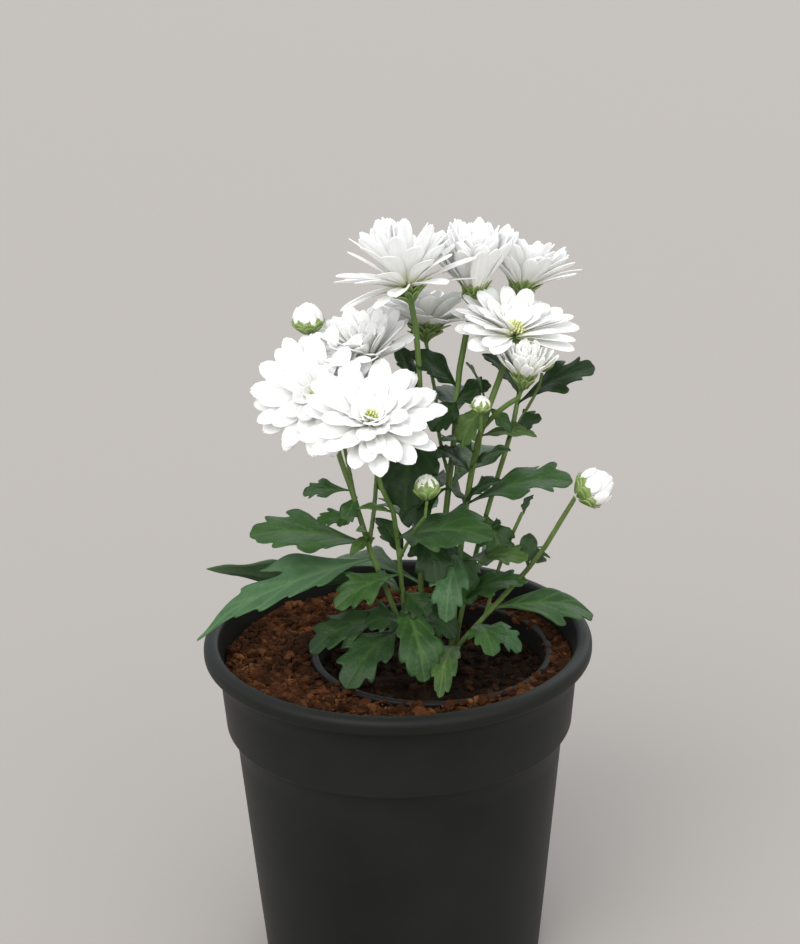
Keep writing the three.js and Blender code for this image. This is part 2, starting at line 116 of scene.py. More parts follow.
# %% [markdown]
# ## Many shapes in one mesh
# A head has some sixty petals and the soil has thousands of crumbs. One object for each would be slow and
# hard to handle, so the shapes are collected first and become one mesh at the end.


# %% Batch of shapes
class Batch:
    """Collects many small shapes so that they become one mesh."""

    def __init__(self):
        self.points = []
        self.faces = []
        self.marks = {}
        self.count = 0

    def add(self, points, faces, **marks):
        """Add one shape. A mark may be one value for the whole shape or a value for each point."""
        points = np.asarray(points, dtype=float).reshape(-1, 3)
        self.points.append(points)
        self.faces.extend([[i + self.count for i in face] for face in faces])
        for mark, values in marks.items():
            values = np.broadcast_to(np.asarray(values, dtype=float), (len(points),))
            self.marks.setdefault(mark, []).append(values)
        self.count += len(points)

    def make(self, name, finish, slot, replaces=(), smooth=True):
        """Turn everything that was added into one piece."""
        marks = {mark: np.concatenate(values) for mark, values in self.marks.items()}
        points = np.concatenate(self.points)
        return make_piece(name, points, self.faces, finish, marks, replaces, smooth)


print("batch ready")

# %% [markdown]
# ## Thin sheets
# A single layer of faces has no thickness and looks like cut paper. Here each sheet has a top grid and
# a bottom grid, and a strip of faces joins them all round, so the sheet is closed.


# %% Faces of a thin sheet
def sheet_faces(rows, columns):
    """Faces of a closed thin sheet: a top grid, then a bottom grid, then the edge between them."""
    size = rows * columns
    faces = []
    for i in range(rows - 1):
        for j in range(columns - 1):
            a = i * columns + j
            b, c, d = a + 1, a + columns + 1, a + columns
            faces.append((a, d, c, b))
            faces.append((a + size, b + size, c + size, d + size))
    edge = list(range(columns))
    edge += [i * columns + columns - 1 for i in range(1, rows)]
    edge += [(rows - 1) * columns + j for j in range(columns - 2, -1, -1)]
    edge += [i * columns for i in range(rows - 2, 0, -1)]
    for k, here in enumerate(edge):
        after = edge[(k + 1) % len(edge)]
        faces.append((here, after, after + size, here + size))
    return faces


print("a sheet of 3 by 3 points has", len(sheet_faces(3, 3)), "faces")


# %% Smooth steps and random sources
def ease(low, high, x):
    """A smooth step from 0 at low to 1 at high."""
    t = np.clip((x - low) / (high - low), 0.0, 1.0)
    return t * t * (3.0 - 2.0 * t)


def seeded(name):
    """A random source that depends only on the piece's name, so the plant is the same every time."""
    return random.Random("chrysanthemum " + name)


print("halfway up a smooth step:", float(ease(0.0, 1.0, 0.5)))


# %% [markdown]
# ## Finish helpers
# Every finish is one Principled shader with a few texture nodes in front of its colour and bump.
# Texture coordinates come from the object itself, so a pattern has a real size in metres.
# The first half of the maker builds patterns: noises, marks, ramps and mixes of colours.


# %% Patterns of a finish
class Patterns:
    """A material with a Principled shader and short ways to make the patterns for it."""

    def __init__(self, name, roughness, specular=0.5):
        self.material = bpy.data.materials.new(name)
        self.material.use_nodes = True
        self.tree = self.material.node_tree
        self.shader = self.tree.nodes["Principled BSDF"]
        self.shader.inputs["Roughness"].default_value = roughness
        self.shader.inputs["Specular IOR Level"].default_value = specular
        self.place = self.tree.nodes.new("ShaderNodeTexCoord").outputs["Object"]

    def node(self, kind, **settings):
        """A new node with its settings."""
        made = self.tree.nodes.new(kind)
        for key, value in settings.items():
            setattr(made, key, value)
        return made

    def link(self, source, socket):
        self.tree.links.new(source, socket)

    def noise(self, scale, detail=4.0, roughness=0.55, stretch=None):
        """A noise pattern, stretched along an axis if asked."""
        made = self.node("ShaderNodeTexNoise")
        made.inputs["Scale"].default_value = scale
        made.inputs["Detail"].default_value = detail
        made.inputs["Roughness"].default_value = roughness
        source = self.place
        if stretch:
            mapping = self.node("ShaderNodeMapping")
            mapping.inputs["Scale"].default_value = stretch
            self.link(source, mapping.inputs["Vector"])
            source = mapping.outputs["Vector"]
        self.link(source, made.inputs["Vector"])
        return made.outputs["Fac"]

    def mark(self, name):
        """A value stored on the mesh's points."""
        return self.node("ShaderNodeAttribute", attribute_name=name).outputs["Fac"]

    def ramp(self, factor, stops):
        """Colours (or greys) spread along a factor: stops are (position, colour)."""
        made = self.node("ShaderNodeValToRGB")
        elements = made.color_ramp.elements
        while len(elements) < len(stops):
            elements.new(0.5)
        for element, (position, colour) in zip(elements, stops):
            element.position = position
            element.color = (*colour, 1.0) if len(colour) == 3 else colour
        self.link(factor, made.inputs["Fac"])
        return made.outputs["Color"]

    def blend(self, factor, below, above, mode="MIX"):
        """Mix two colours. Each may be a socket or a plain colour."""
        made = self.node("ShaderNodeMix", data_type="RGBA", blend_type=mode)
        for value, socket in ((factor, made.inputs[0]), (below, made.inputs[6]), (above, made.inputs[7])):
            if isinstance(value, bpy.types.NodeSocket):
                self.link(value, socket)
            elif isinstance(value, (int, float)):
                socket.default_value = value
            else:
                socket.default_value = (*value, 1.0)
        return made.outputs[2]


print("pattern maker ready")

# %% [markdown]
# ## Feeding the shader
# The second half joins those patterns to the shader. Values that are the same all over are set on
# the shader's own sockets instead, so that anyone who opens the material can read them there.


# %% Finish maker
class Finish(Patterns):
    """Patterns joined to the sockets of the shader."""

    def colour(self, socket):
        """The colour of the surface."""
        self.link(socket, self.shader.inputs["Base Color"])

    def rough(self, factor, low, high):
        """Let the roughness vary between two values."""
        made = self.node("ShaderNodeMapRange")
        made.inputs["To Min"].default_value = low
        made.inputs["To Max"].default_value = high
        self.link(factor, made.inputs["Value"])
        self.link(made.outputs["Result"], self.shader.inputs["Roughness"])

    def bump(self, height, distance, strength=0.5):
        """Small hollows and ridges, with their depth in metres."""
        made = self.node("ShaderNodeBump")
        made.inputs["Distance"].default_value = distance
        made.inputs["Strength"].default_value = strength
        self.link(height, made.inputs["Height"])
        self.link(made.outputs["Normal"], self.shader.inputs["Normal"])

    def soft(self, weight, radius):
        """Light that enters a thin living part and scatters inside it."""
        self.shader.inputs["Subsurface Weight"].default_value = weight
        self.shader.inputs["Subsurface Radius"].default_value = radius
        self.shader.inputs["Subsurface Scale"].default_value = 0.001


print("finish maker ready")

# %% [markdown]
# ## Pot plastic
# Nursery pots are moulded from recycled black plastic: charcoal rather than pure black, with a soft sheen.
# A painted texture would do, but the pot would have to be unwrapped for it, and its seam would show.
# So a broad noise shifts the tone and the gloss like smudges from handling, and a very fine one is a bump
# that breaks up the shine. The same maker gives the liner's thinner, slightly browner plastic.


# %% Pot plastic finish
def pot_plastic(name, base, dusty):
    """Moulded plastic, from its clean tone to its dusty one."""
    finish = Finish(name, roughness=0.5, specular=0.2)
    smudge = finish.noise(22.0, detail=5.0)
    grain = finish.noise(1400.0, detail=2.0)
    tone = finish.ramp(smudge, [(0.35, base), (0.75, dusty)])
    finish.colour(tone)
    finish.rough(smudge, 0.42, 0.62)
    finish.bump(grain, 0.00008, 0.35)
    return finish.material


POT_BLACK = pot_plastic("pot_charcoal_plastic", (0.0055, 0.0062, 0.0045), (0.011, 0.0125, 0.0095))
LINER_BLACK = pot_plastic("liner_thin_plastic", (0.0045, 0.0045, 0.004), (0.012, 0.010, 0.008))
print("pot plastics ready")

# %% [markdown]
# ## The outer pot
# The real pot is a thin round shape: a rolled lip, a deeper collar, a small step and a plain taper.
# A cylinder with loop cuts could be scaled into it, ring by ring. Spinning a profile is shorter and
# exact, because every radius and height is one point, and 180 steps round keep the outline smooth.
# The rim's radius and the height come from the frame, and the other sizes are steps inwards from the rim.

# %% Outer pot sizes
pot_low, pot_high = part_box("outer_pot")
POT_HEIGHT = pot_high.z
RIM_RADIUS = (pot_high.x - pot_low.x) / 2
LIP_HEIGHT = 5.4 * MM
POT_STEPS = 180
POT_WALL = 1.6 * MM
POT_FLOOR = 2.4 * MM
COLLAR_TOP = RIM_RADIUS - 4.7 * MM
COLLAR_FOOT = RIM_RADIUS - 6.5 * MM
BODY_TOP = RIM_RADIUS - 9.3 * MM
BASE_RADIUS = RIM_RADIUS - 17.0 * MM
COLLAR_FOOT_HEIGHT = 89.3 * MM
RIM_INNER = RIM_RADIUS - 5.0 * MM
EDGE_ROUND = 1.2 * MM
LIP_LOWER_ROUND = 1.5 * MM
LIP_OUTER_ROUND = 2.4 * MM
LIP_INNER_ROUND = 1.6 * MM
print("outer pot", round(2 * RIM_RADIUS / MM, 1), "mm across and", round(POT_HEIGHT / MM, 1), "mm tall")


# %% Arcs and spinning
def arc(middle, radius, start, end, count):
    """Points on an arc, as (radius, height) pairs, from one angle to another in degrees."""
    angles = np.radians(np.linspace(start, end, count))
    return [(middle[0] + radius * math.cos(a), middle[1] + radius * math.sin(a)) for a in angles]


def spin(profile, steps, middle=(0.0, 0.0)):
    """Points and faces of a profile turned about the vertical. It starts and ends on the axis."""
    ring_profile = profile[1:-1]
    points = [(middle[0], middle[1], profile[0][1])]
    for radius, height in ring_profile:
        for k in range(steps):
            angle = 2 * math.pi * k / steps
            x, y = middle[0] + radius * math.cos(angle), middle[1] + radius * math.sin(angle)
            points.append((x, y, height))
    points.append((middle[0], middle[1], profile[-1][1]))
    last = len(points) - 1
    faces = []
    for k in range(steps):
        after = (k + 1) % steps
        faces.append((0, 1 + after, 1 + k))
        for row in range(len(ring_profile) - 1):
            a = 1 + row * steps
            b = a + steps
            faces.append((a + k, a + after, b + after, b + k))
        top = 1 + (len(ring_profile) - 1) * steps
        faces.append((last, top + k, top + after))
    return points, faces


print("a quarter arc:", [(round(r, 2), round(h, 2)) for r, h in arc((0.0, 0.0), 1.0, 0, 90, 3)])

# %% Outer pot profile
lip_foot = POT_HEIGHT - LIP_HEIGHT
pot_profile = [(0.0, 0.0), (BASE_RADIUS - EDGE_ROUND, 0.0)]
pot_profile += arc((BASE_RADIUS - EDGE_ROUND, EDGE_ROUND), EDGE_ROUND, -80, 0, 5)
for share in (0.3, 0.6, 0.9, 0.985):
    pot_profile.append((BASE_RADIUS + (BODY_TOP - BASE_RADIUS) * share, COLLAR_FOOT_HEIGHT * share))
pot_profile += arc((COLLAR_FOOT - EDGE_ROUND, COLLAR_FOOT_HEIGHT + EDGE_ROUND), EDGE_ROUND, -90, 0, 6)
pot_profile += [(COLLAR_TOP - 0.5 * MM, lip_foot - 8 * MM), (COLLAR_TOP, lip_foot - 0.4 * MM)]
pot_profile += arc((RIM_RADIUS - LIP_LOWER_ROUND, lip_foot + LIP_LOWER_ROUND), LIP_LOWER_ROUND, -90, 0, 6)
pot_profile += arc((RIM_RADIUS - LIP_OUTER_ROUND, POT_HEIGHT - LIP_OUTER_ROUND), LIP_OUTER_ROUND, 0, 90, 9)
pot_profile += arc((RIM_INNER + LIP_INNER_ROUND, POT_HEIGHT - LIP_INNER_ROUND), LIP_INNER_ROUND, 90, 180, 7)
pot_profile += [
    (COLLAR_TOP - POT_WALL, lip_foot - 1 * MM),
    (COLLAR_FOOT - POT_WALL, COLLAR_FOOT_HEIGHT + 2 * MM),
    (BODY_TOP - POT_WALL, COLLAR_FOOT_HEIGHT),
    (BASE_RADIUS - POT_WALL, POT_FLOOR),
    (0.0, POT_FLOOR),
]
points, faces = spin(pot_profile, POT_STEPS)
outer_pot = make_piece("outer_pot_finished", points, faces, POT_BLACK, replaces=["outer_pot"])
print("outer pot:", len(faces), "faces")

# %% [markdown]
# ## The drain holes
# Water leaves through round holes in the floor, in a ring like the frame's. Round plugs are subtracted
# from the spun pot. All six go in one mesh and one boolean: cutting them one after the other makes
# the solver meet its own earlier cuts, and it may then miss a hole.

# %% Cut the drain holes
DRAIN_HOLES = 6
DRAIN_RADIUS = 3.5 * MM
DRAIN_RING = 34.0 * MM
PLUG_STEPS = 23
plugs = Batch()
for k in range(DRAIN_HOLES):
    angle = (k + 0.5) / DRAIN_HOLES * 2 * math.pi
    middle = (DRAIN_RING * math.cos(angle), DRAIN_RING * math.sin(angle))
    plug = [(0.0, -1 * MM), (DRAIN_RADIUS, -1 * MM), (DRAIN_RADIUS, POT_FLOOR + MM), (0.0, POT_FLOOR + MM)]
    plugs.add(*spin(plug, PLUG_STEPS, middle))
plug_mesh = bpy.data.meshes.new("drain_plugs")
plug_mesh.from_pydata(np.concatenate(plugs.points).tolist(), [], plugs.faces)
cutter = bpy.data.objects.new("drain_plugs", plug_mesh)
bpy.context.scene.collection.objects.link(cutter)
drill = outer_pot.modifiers.new("drain", "BOOLEAN")
drill.object = cutter
drill.operation = "DIFFERENCE"
bpy.context.view_layer.update()
drilled = outer_pot.evaluated_get(bpy.context.evaluated_depsgraph_get())
drilled_mesh = bpy.data.meshes.new_from_object(drilled)
outer_pot.modifiers.clear()
outer_pot.data = drilled_mesh
bpy.data.objects.remove(cutter)
print("drain holes cut:", DRAIN_HOLES)

# %% [markdown]
# ## The liner pot
# The plant was set down still in its small grower's pot, so a thin dark rim shows in the soil.
# It is spun as well. It does not stand in the middle of the outer pot, so its middle is measured
# from the frame, and so are its rim's radius, its top and its base.

# %% Liner pot
liner_low, liner_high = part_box("liner_pot")
LINER_MIDDLE = ((liner_low.x + liner_high.x) / 2, (liner_low.y + liner_high.y) / 2)
LINER_RIM = (liner_high.x - liner_low.x) / 2
LINER_TOP = liner_high.z
LINER_BASE = liner_low.z
LINER_FOOT = LINER_RIM - 10 * MM
LINER_STEPS = 140
LINER_WALL = 1.2 * MM
LINER_LIP = 3 * MM
LINER_ROUND = 0.8 * MM
liner_profile = [
    (0.0, LINER_BASE),
    (LINER_FOOT, LINER_BASE),
    (LINER_RIM - 1.4 * MM, LINER_TOP - LINER_LIP),
    (LINER_RIM - 0.3 * MM, LINER_TOP - LINER_LIP),
    (LINER_RIM, LINER_TOP - LINER_LIP + 0.4 * MM),
]
liner_profile += arc((LINER_RIM - LINER_ROUND, LINER_TOP - LINER_ROUND), LINER_ROUND, 0, 90, 5)
liner_profile += arc((LINER_RIM - LINER_ROUND - MM, LINER_TOP - LINER_ROUND), LINER_ROUND, 90, 180, 5)
liner_profile += [(LINER_FOOT - LINER_WALL, LINER_BASE + LINER_WALL), (0.0, LINER_BASE + LINER_WALL)]
points, faces = spin(liner_profile, LINER_STEPS, LINER_MIDDLE)
make_piece("liner_pot_finished", points, faces, LINER_BLACK, replaces=["liner_pot"])
print("liner rim radius", round(LINER_RIM / MM, 1), "mm")

# %% [markdown]
# ## Soil
# The mix is coir and bark: reddish crumbs from dust up to small clods, with pale fibres on top.
# A flat disc with a bump would look painted from so near, so the bed, the crumbs and the fibres
# are all real shapes that cast shadows, and they share one finish.
# The finish reads a tone that is stored on the points. Each crumb gets a tone of its own, so the colour
# varies from crumb to crumb. A noise adds damp patches, and a fine one gives speckles and roughness.


# %% Soil finish
def soil_finish(name, dark, middle, light):
    """Crumbly soil whose tone runs from dark to light by the mark on each point."""
    finish = Finish(name, roughness=0.92, specular=0.12)
    tone = finish.mark("tone")
    grain = finish.noise(900.0, detail=6.0, roughness=0.7)
    patches = finish.noise(120.0, detail=4.0)
    colour = finish.ramp(tone, [(0.0, dark), (0.5, middle), (1.0, light)])
    damp = finish.ramp(patches, [(0.35, (0.0, 0.0, 0.0)), (0.65, (1.0, 1.0, 1.0))])
    colour = finish.blend(damp, colour, dark)
    speckle = finish.ramp(grain, [(0.3, (0.45, 0.4, 0.4)), (0.7, (1.25, 1.2, 1.15))])
    finish.colour(finish.blend(1.0, colour, speckle, "MULTIPLY"))
    finish.bump(grain, 0.0006, 0.9)
    return finish.material


COIR = soil_finish("coir_crumbs", (0.028, 0.0105, 0.003), (0.098, 0.034, 0.010), (0.235, 0.098, 0.036))
# The peat is darker than the coir: partly its own colour and partly painted shade, for the shade the plant
# casts into the liner.
SHADED_PEAT = soil_finish("root_ball_peat_painted_shade", (0.008, 0.0045, 0.0015), (0.026, 0.012, 0.004), (0.072, 0.032, 0.012))
print("soil finishes ready")

# %% [markdown]
# ## Beds of soil
# The coir lies in a ring between the two pots and the root ball is a disc inside the liner.
# Both are one closed shape: a lumpy top, a flat underside and the walls between them. The top is
# a grid of circles, and three layers of noise lift it: broad swells, lumps and grains.

# %% Lumps of the ground
def ground_height(x, y, rough):
    """Height of the lumps at a place, in metres."""
    broad = noise.noise(Vector((x * 60, y * 60, 1.7)))
    lumps = noise.noise(Vector((x * 190, y * 190, 5.1)))
    grain = noise.noise(Vector((x * 520, y * 520, 9.4)))
    return (broad * 1.3 + lumps * 0.9 + grain * 0.5) * rough


print("lift at one place:", round(ground_height(0.01, 0.02, 0.9 * MM) / MM, 2), "mm")


# %% Ground between two circles
def ground(name, inner, outer, top, depth, finish, node, rough=0.9 * MM):
    """A closed ring (or disc) of soil. inner and outer are (middle, radius)."""
    around, across = 300, 56
    top_points, marks = [], []
    for i in range(across + 1):
        share = i / across
        for k in range(around):
            angle = 2 * math.pi * k / around
            ends = [(m[0] + r * math.cos(angle), m[1] + r * math.sin(angle)) for m, r in (inner, outer)]
            x = ends[0][0] * (1 - share) + ends[1][0] * share
            y = ends[0][1] * (1 - share) + ends[1][1] * share
            lift = ground_height(x, y, rough)
            top_points.append((x, y, top(x, y) + lift))
            marks.append(0.5 + 0.5 * noise.noise(Vector((x * 240, y * 240, 3.3))))
    rows = across + 1
    base = len(top_points)
    points = top_points + [(x, y, depth) for x, y, _ in top_points[:around]]
    points += [(x, y, depth) for x, y, _ in top_points[across * around :]]
    marks += [0.3] * (2 * around)
    faces = []
    for k in range(around):
        after = (k + 1) % around
        for i in range(rows - 1):
            a, b = i * around, (i + 1) * around
            faces.append((a + k, b + k, b + after, a + after))
        outer_row = across * around
        faces.append((outer_row + k, base + around + k, base + around + after, outer_row + after))
        faces.append((base + k, k, after, base + after))
        faces.append((base + k, base + after, base + around + after, base + around + k))
    return make_piece(name, points, faces, finish, {"tone": marks}, [node])


print("ground maker ready")

# %% Coir between the pots
soil_low, soil_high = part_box("potting_soil")
SOIL_RADIUS = (soil_high.x - soil_low.x) / 2 + 0.1 * MM
SOIL_TOP = soil_high.z - 0.8 * MM
BED_BASE = 92 * MM


def soil_top(x, y):
    """The coir lies level and climbs a little at the wall."""
    return SOIL_TOP + 1.5 * MM * float(ease(SOIL_RADIUS * 0.86, SOIL_RADIUS, math.hypot(x, y)))


ground(
    "potting_soil_finished", (LINER_MIDDLE, LINER_RIM - 1.0 * MM), ((0.0, 0.0), SOIL_RADIUS), soil_top,
    BED_BASE, COIR, "potting_soil",
)
print("soil level", round(SOIL_TOP / MM, 1), "mm")

# %% Root ball in the liner
ball_low, ball_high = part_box("root_ball")
BALL_RADIUS = (ball_high.x - ball_low.x) / 2 + 0.3 * MM
BALL_TOP = ball_high.z - 1.5 * MM
BALL_BASE = 90 * MM


def ball_top(x, y):
    """The root ball is heaped a little round the shoots."""
    away = math.hypot(x - LINER_MIDDLE[0], y - LINER_MIDDLE[1])
    return BALL_TOP + 2 * MM * (1 - min(1.0, away / BALL_RADIUS))


ground(
    "root_ball_finished", (LINER_MIDDLE, 0.4 * MM), (LINER_MIDDLE, BALL_RADIUS), ball_top,
    BALL_BASE, SHADED_PEAT, "root_ball",
)
print("root ball level", round(BALL_TOP / MM, 1), "mm")

# %% [markdown]
# ## The soil below
# Both pots are full of soil down to their floors, and the outer pot's shows in its drain holes.
# Its shape is hidden, so the frame's own solids will do: each is copied and pressed down under its bed.

# %% Filling of the pots
FILLING_TOP = BED_BASE + 1 * MM


def sunk_copy(name, node, finish):
    """The hidden lower part of a bed of soil: a copy of its solid, pressed down under the modelled top."""
    filling = bpy.data.objects.new(name, nodes[node].data.copy())
    bpy.context.scene.collection.objects.link(filling)
    for vertex in filling.data.vertices:
        vertex.co.z = min(vertex.co.z, FILLING_TOP)
    filling.data.materials.clear()
    filling.data.materials.append(finish)
    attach(filling, "root")


sunk_copy("potting_soil_filling", "potting_soil", COIR)
sunk_copy("root_ball_filling", "root_ball", SHADED_PEAT)
print("fillings reach", round(FILLING_TOP / MM, 1), "mm")

# %% [markdown]
# ## Crumbs
# Coir breaks into lumps of all sizes. A few good models could be repeated, but the eye finds repeats.
# A rough ball of twenty faces is enough for each, because every one is squashed, turned and toned
# differently, and flat facets look like broken fibre.
# Some crumbs are heaped over the liner's rim, which careless planting half buries.

# %% Crumbs
seed_ball = bmesh.new()
bmesh.ops.create_icosphere(seed_ball, subdivisions=1, radius=1.0)
seed_ball.verts.ensure_lookup_table()
ICO_POINTS = np.array([v.co[:] for v in seed_ball.verts])
ICO_FACES = [[v.index for v in f.verts] for f in seed_ball.faces]
seed_ball.free()


def crumb(rng, middle, size):
    """An irregular lump: a rough ball with every corner pushed in or out, then squashed and turned."""
    points = ICO_POINTS * np.array([rng.uniform(0.72, 1.2) for _ in ICO_POINTS])[:, None]
    points = points * np.array([rng.uniform(0.6, 1.3), rng.uniform(0.6, 1.1), rng.uniform(0.4, 0.8)])
    turn = Matrix.Rotation(rng.uniform(0, math.tau), 3, "Z") @ Matrix.Rotation(rng.uniform(-0.7, 0.7), 3, "X")
    return points @ np.array(turn).T * size + np.array(middle)


print("a crumb has", len(ICO_POINTS), "corners and", len(ICO_FACES), "faces")


# %% Scatter crumbs
def in_circle(rng, middle, radius):
    """An even random place in a circle."""
    angle, reach = rng.uniform(0, math.tau), radius * math.sqrt(rng.random())
    return middle[0] + reach * math.cos(angle), middle[1] + reach * math.sin(angle)


def scatter_crumbs(name, finish, slot, count, spot, top, sizes):
    """Many crumbs as one piece. spot picks a place and top tells the ground's height there."""
    rng = seeded(name)
    batch = Batch()
    made = 0
    while made < count:
        place = spot(rng)
        if place is None:
            continue
        size = rng.uniform(*sizes) * (rng.random() ** 2 * 1.7 + 0.45)
        x, y = place
        batch.add(crumb(rng, (x, y, top(x, y) + size * 0.25), size), ICO_FACES, tone=rng.random() ** 1.3)
        made += 1
    return batch.make(name, finish, slot, smooth=False)


print("scatter maker ready")


# %% Where the crumbs lie
def coir_spot(rng):
    """A place between the two pots, or nothing where the liner stands."""
    x, y = in_circle(rng, (0.0, 0.0), SOIL_RADIUS - 1.2 * MM)
    away = math.hypot(x - LINER_MIDDLE[0], y - LINER_MIDDLE[1])
    return (x, y) if away > LINER_RIM + 1.4 * MM else None


def heap_spot(rng):
    """Crumbs that spilled over the liner's rim, most of them at the right."""
    angle = rng.gauss(0.1, 1.4)
    away = LINER_RIM + rng.uniform(-2.2, 3.0) * MM
    return LINER_MIDDLE[0] + away * math.cos(angle), LINER_MIDDLE[1] + away * math.sin(angle)


def heap_top(x, y):
    """The spilled heap is highest at the liner's rim."""
    away = math.hypot(x - LINER_MIDDLE[0], y - LINER_MIDDLE[1])
    return LINER_TOP - 0.7 * MM - 0.5 * abs(away - LINER_RIM)


def ball_spot(rng):
    """A place inside the liner."""
    return in_circle(rng, LINER_MIDDLE, BALL_RADIUS - 1.5 * MM)


COIR_CRUMBS, BALL_CRUMBS, RIM_CRUMBS = 2300, 700, 900
scatter_crumbs("coir_crumbs", COIR, "coir_soil", COIR_CRUMBS, coir_spot, soil_top, (0.7 * MM, 1.5 * MM))
scatter_crumbs("root_ball_crumbs", SHADED_PEAT, "root_soil", BALL_CRUMBS, ball_spot, ball_top, (0.7 * MM, 1.5 * MM))
scatter_crumbs("rim_crumbs", COIR, "coir_soil", RIM_CRUMBS, heap_spot, heap_top, (0.6 * MM, 1.3 * MM))
print("crumbs scattered:", COIR_CRUMBS + BALL_CRUMBS + RIM_CRUMBS)


# %% [markdown]
# ## Fibres
# Loose coconut fibres lie curled on the surface. A curve object with a bevel would draw one,
# but hundreds of curves are slow. Here each is a very thin tube of faces swept along a bent path.
# The same tube function later makes the florets in the eyes of the flowers.

# %% Tube along a path
def tube(path, radii, sides=6):
    """A closed round tube along points, with a radius at each."""
    path = np.asarray(path, dtype=float)
    count = len(path)
    tangents = np.gradient(path, axis=0)
    tangents /= np.linalg.norm(tangents, axis=1)[:, None]
    side = np.cross(tangents[0], (0.0, 0.0, 1.0))
    if np.linalg.norm(side) < 0.1:
        side = np.cross(tangents[0], (0.0, 1.0, 0.0))
    points = []
    for i in range(count):
        side = side - tangents[i] * np.dot(side, tangents[i])
        side /= np.linalg.norm(side)
        up = np.cross(tangents[i], side)
        for k in range(sides):
            angle = math.tau * k / sides
            points.append(path[i] + radii[i] * (side * math.cos(angle) + up * math.sin(angle)))
    faces = []
    for i in range(count - 1):
        for k in range(sides):
            after = (k + 1) % sides
            a, b = i * sides, (i + 1) * sides
            faces.append((a + k, a + after, b + after, b + k))
    faces.append(tuple(reversed(range(sides))))
    faces.append(tuple((count - 1) * sides + k for k in range(sides)))
    return np.array(points), faces


print("a short tube has", len(tube([(0, 0, 0), (0, 0, 1)], [1, 1])[1]), "faces")


# %% Fibres on the coir
FIBRE_STEPS = 6
FIBRES = 220


def scatter_fibres(name, finish, slot, count, spot, top):
    """Many bent fibres as one piece."""
    rng = seeded(name)
    batch = Batch()
    made = 0
    while made < count:
        place = spot(rng)
        if place is None:
            continue
        heading, bend = rng.uniform(0, math.tau), rng.uniform(-60, 60)
        length, height = rng.uniform(3, 9) * MM, rng.uniform(0.3, 1.4) * MM
        x, y = place
        path = []
        for i in range(FIBRE_STEPS + 1):
            path.append((x, y, top(x, y) + 0.9 * MM + height * math.sin(math.pi * i / FIBRE_STEPS)))
            x += math.cos(heading) * length / FIBRE_STEPS
            y += math.sin(heading) * length / FIBRE_STEPS
            heading += bend * length / FIBRE_STEPS
        if math.hypot(x, y) > SOIL_RADIUS - 1.5 * MM:
            continue
        radii = np.linspace(0.16, 0.08, FIBRE_STEPS + 1) * MM
        shape, faces = tube(path, radii, 4)
        batch.add(shape, faces, tone=rng.uniform(0.5, 1.0))
        made += 1
    return batch.make(name, finish, slot)


scatter_fibres("coir_fibres", COIR, "coir_soil", FIBRES, coir_spot, soil_top)
print("fibres laid:", FIBRES)

# %% [markdown]
# ## Measuring the frame's solids
# Every flower, bud and leaf is rebuilt from its own solid, so its place, direction and size are measured.
# The main directions of a cloud of points come from its covariance: a flower head is equally wide
# in two of them, so the third, the odd one out, is the way it faces.


# %% Corners and main directions of a solid
def node_points(name):
    """The corners of a node, each once."""
    data = nodes[name].data
    points = np.empty(len(data.vertices) * 3)
    data.vertices.foreach_get("co", points)
    return np.unique(np.round(points.reshape(-1, 3), 7), axis=0)


def surface_samples(name):
    """Middles and areas of a node's faces, which weigh a shape evenly."""
    data = nodes[name].data
    middles = np.array([f.center[:] for f in data.polygons])
    areas = np.array([f.area for f in data.polygons])
    return middles, areas


def main_axes(name):
    """The node's middle, its three main directions and its spread along them, least first."""
    middles, areas = surface_samples(name)
    middle = (middles * areas[:, None]).sum(0) / areas.sum()
    offset = middles - middle
    spread, axes = np.linalg.eigh((offset * areas[:, None]).T @ offset / areas.sum())
    return middle, axes.T, spread


print("the front flower's middle is at", np.round(main_axes("flower_front")[0] / MM, 1), "mm")

# %% Kinds of pieces in the frame
SHOOTS = sorted(n for n in nodes if n.startswith("shoot_"))
FLOWERS = sorted(n for n in nodes if n.startswith("flower_"))
BUDS = sorted(n for n in nodes if n.startswith("bud_"))
LEAVES = sorted(n for n in nodes if n.startswith("leaf_"))
shoot_points = np.concatenate([node_points(n) for n in SHOOTS])
print(len(SHOOTS), "shoots,", len(FLOWERS), "flowers,", len(BUDS), "buds,", len(LEAVES), "leaves")


def nearest_stalk(place):
    """The point of the shoots' surfaces nearest to a place."""
    return shoot_points[np.argmin(((shoot_points - place) ** 2).sum(1))]


# %% Measure the flower heads
def measure_head(name):
    """Base, facing, spread and rise of a flower head."""
    points = node_points(name)
    middle, axes, spread = main_axes(name)
    gaps = [abs(spread[0] - spread[1]), abs(spread[1] - spread[2])]
    facing = axes[0] if gaps[1] < gaps[0] else axes[2]
    height = (points - middle) @ facing
    away = np.linalg.norm(points - middle - height[:, None] * facing, axis=1)
    tips = away > 0.85 * away.max()
    if height[tips].mean() < (height.min() + height.max()) / 2 and height[tips].mean() < height[~tips].mean():
        facing, height = -facing, -height
    base = middle + facing * height.min()
    return base, facing, away.max(), height[tips].mean() - height.min()


head_facts = {name: measure_head(name) for name in FLOWERS}
for name, (base, facing, spread, rise) in head_facts.items():
    print(name, "spread", round(spread / MM, 1), "rise", round(rise / MM, 1), "facing", np.round(facing, 2))

# %% [markdown]
# ## Petals
# A chrysanthemum bloom is really a head of many small flowers. The white rays outside are long, rounded,
# a little notched at the tip and grooved lengthwise; rows of shorter ones stand up towards the middle.
# They are white but not chalky: yellow-green at the foot, greyed in the grooves by painted shade, and a
# little light scatters inside them. The finish reads how far along a petal a point lies and how deep in a
# groove.

# %% Petal finish
PETAL_THICKNESS = 0.26 * MM


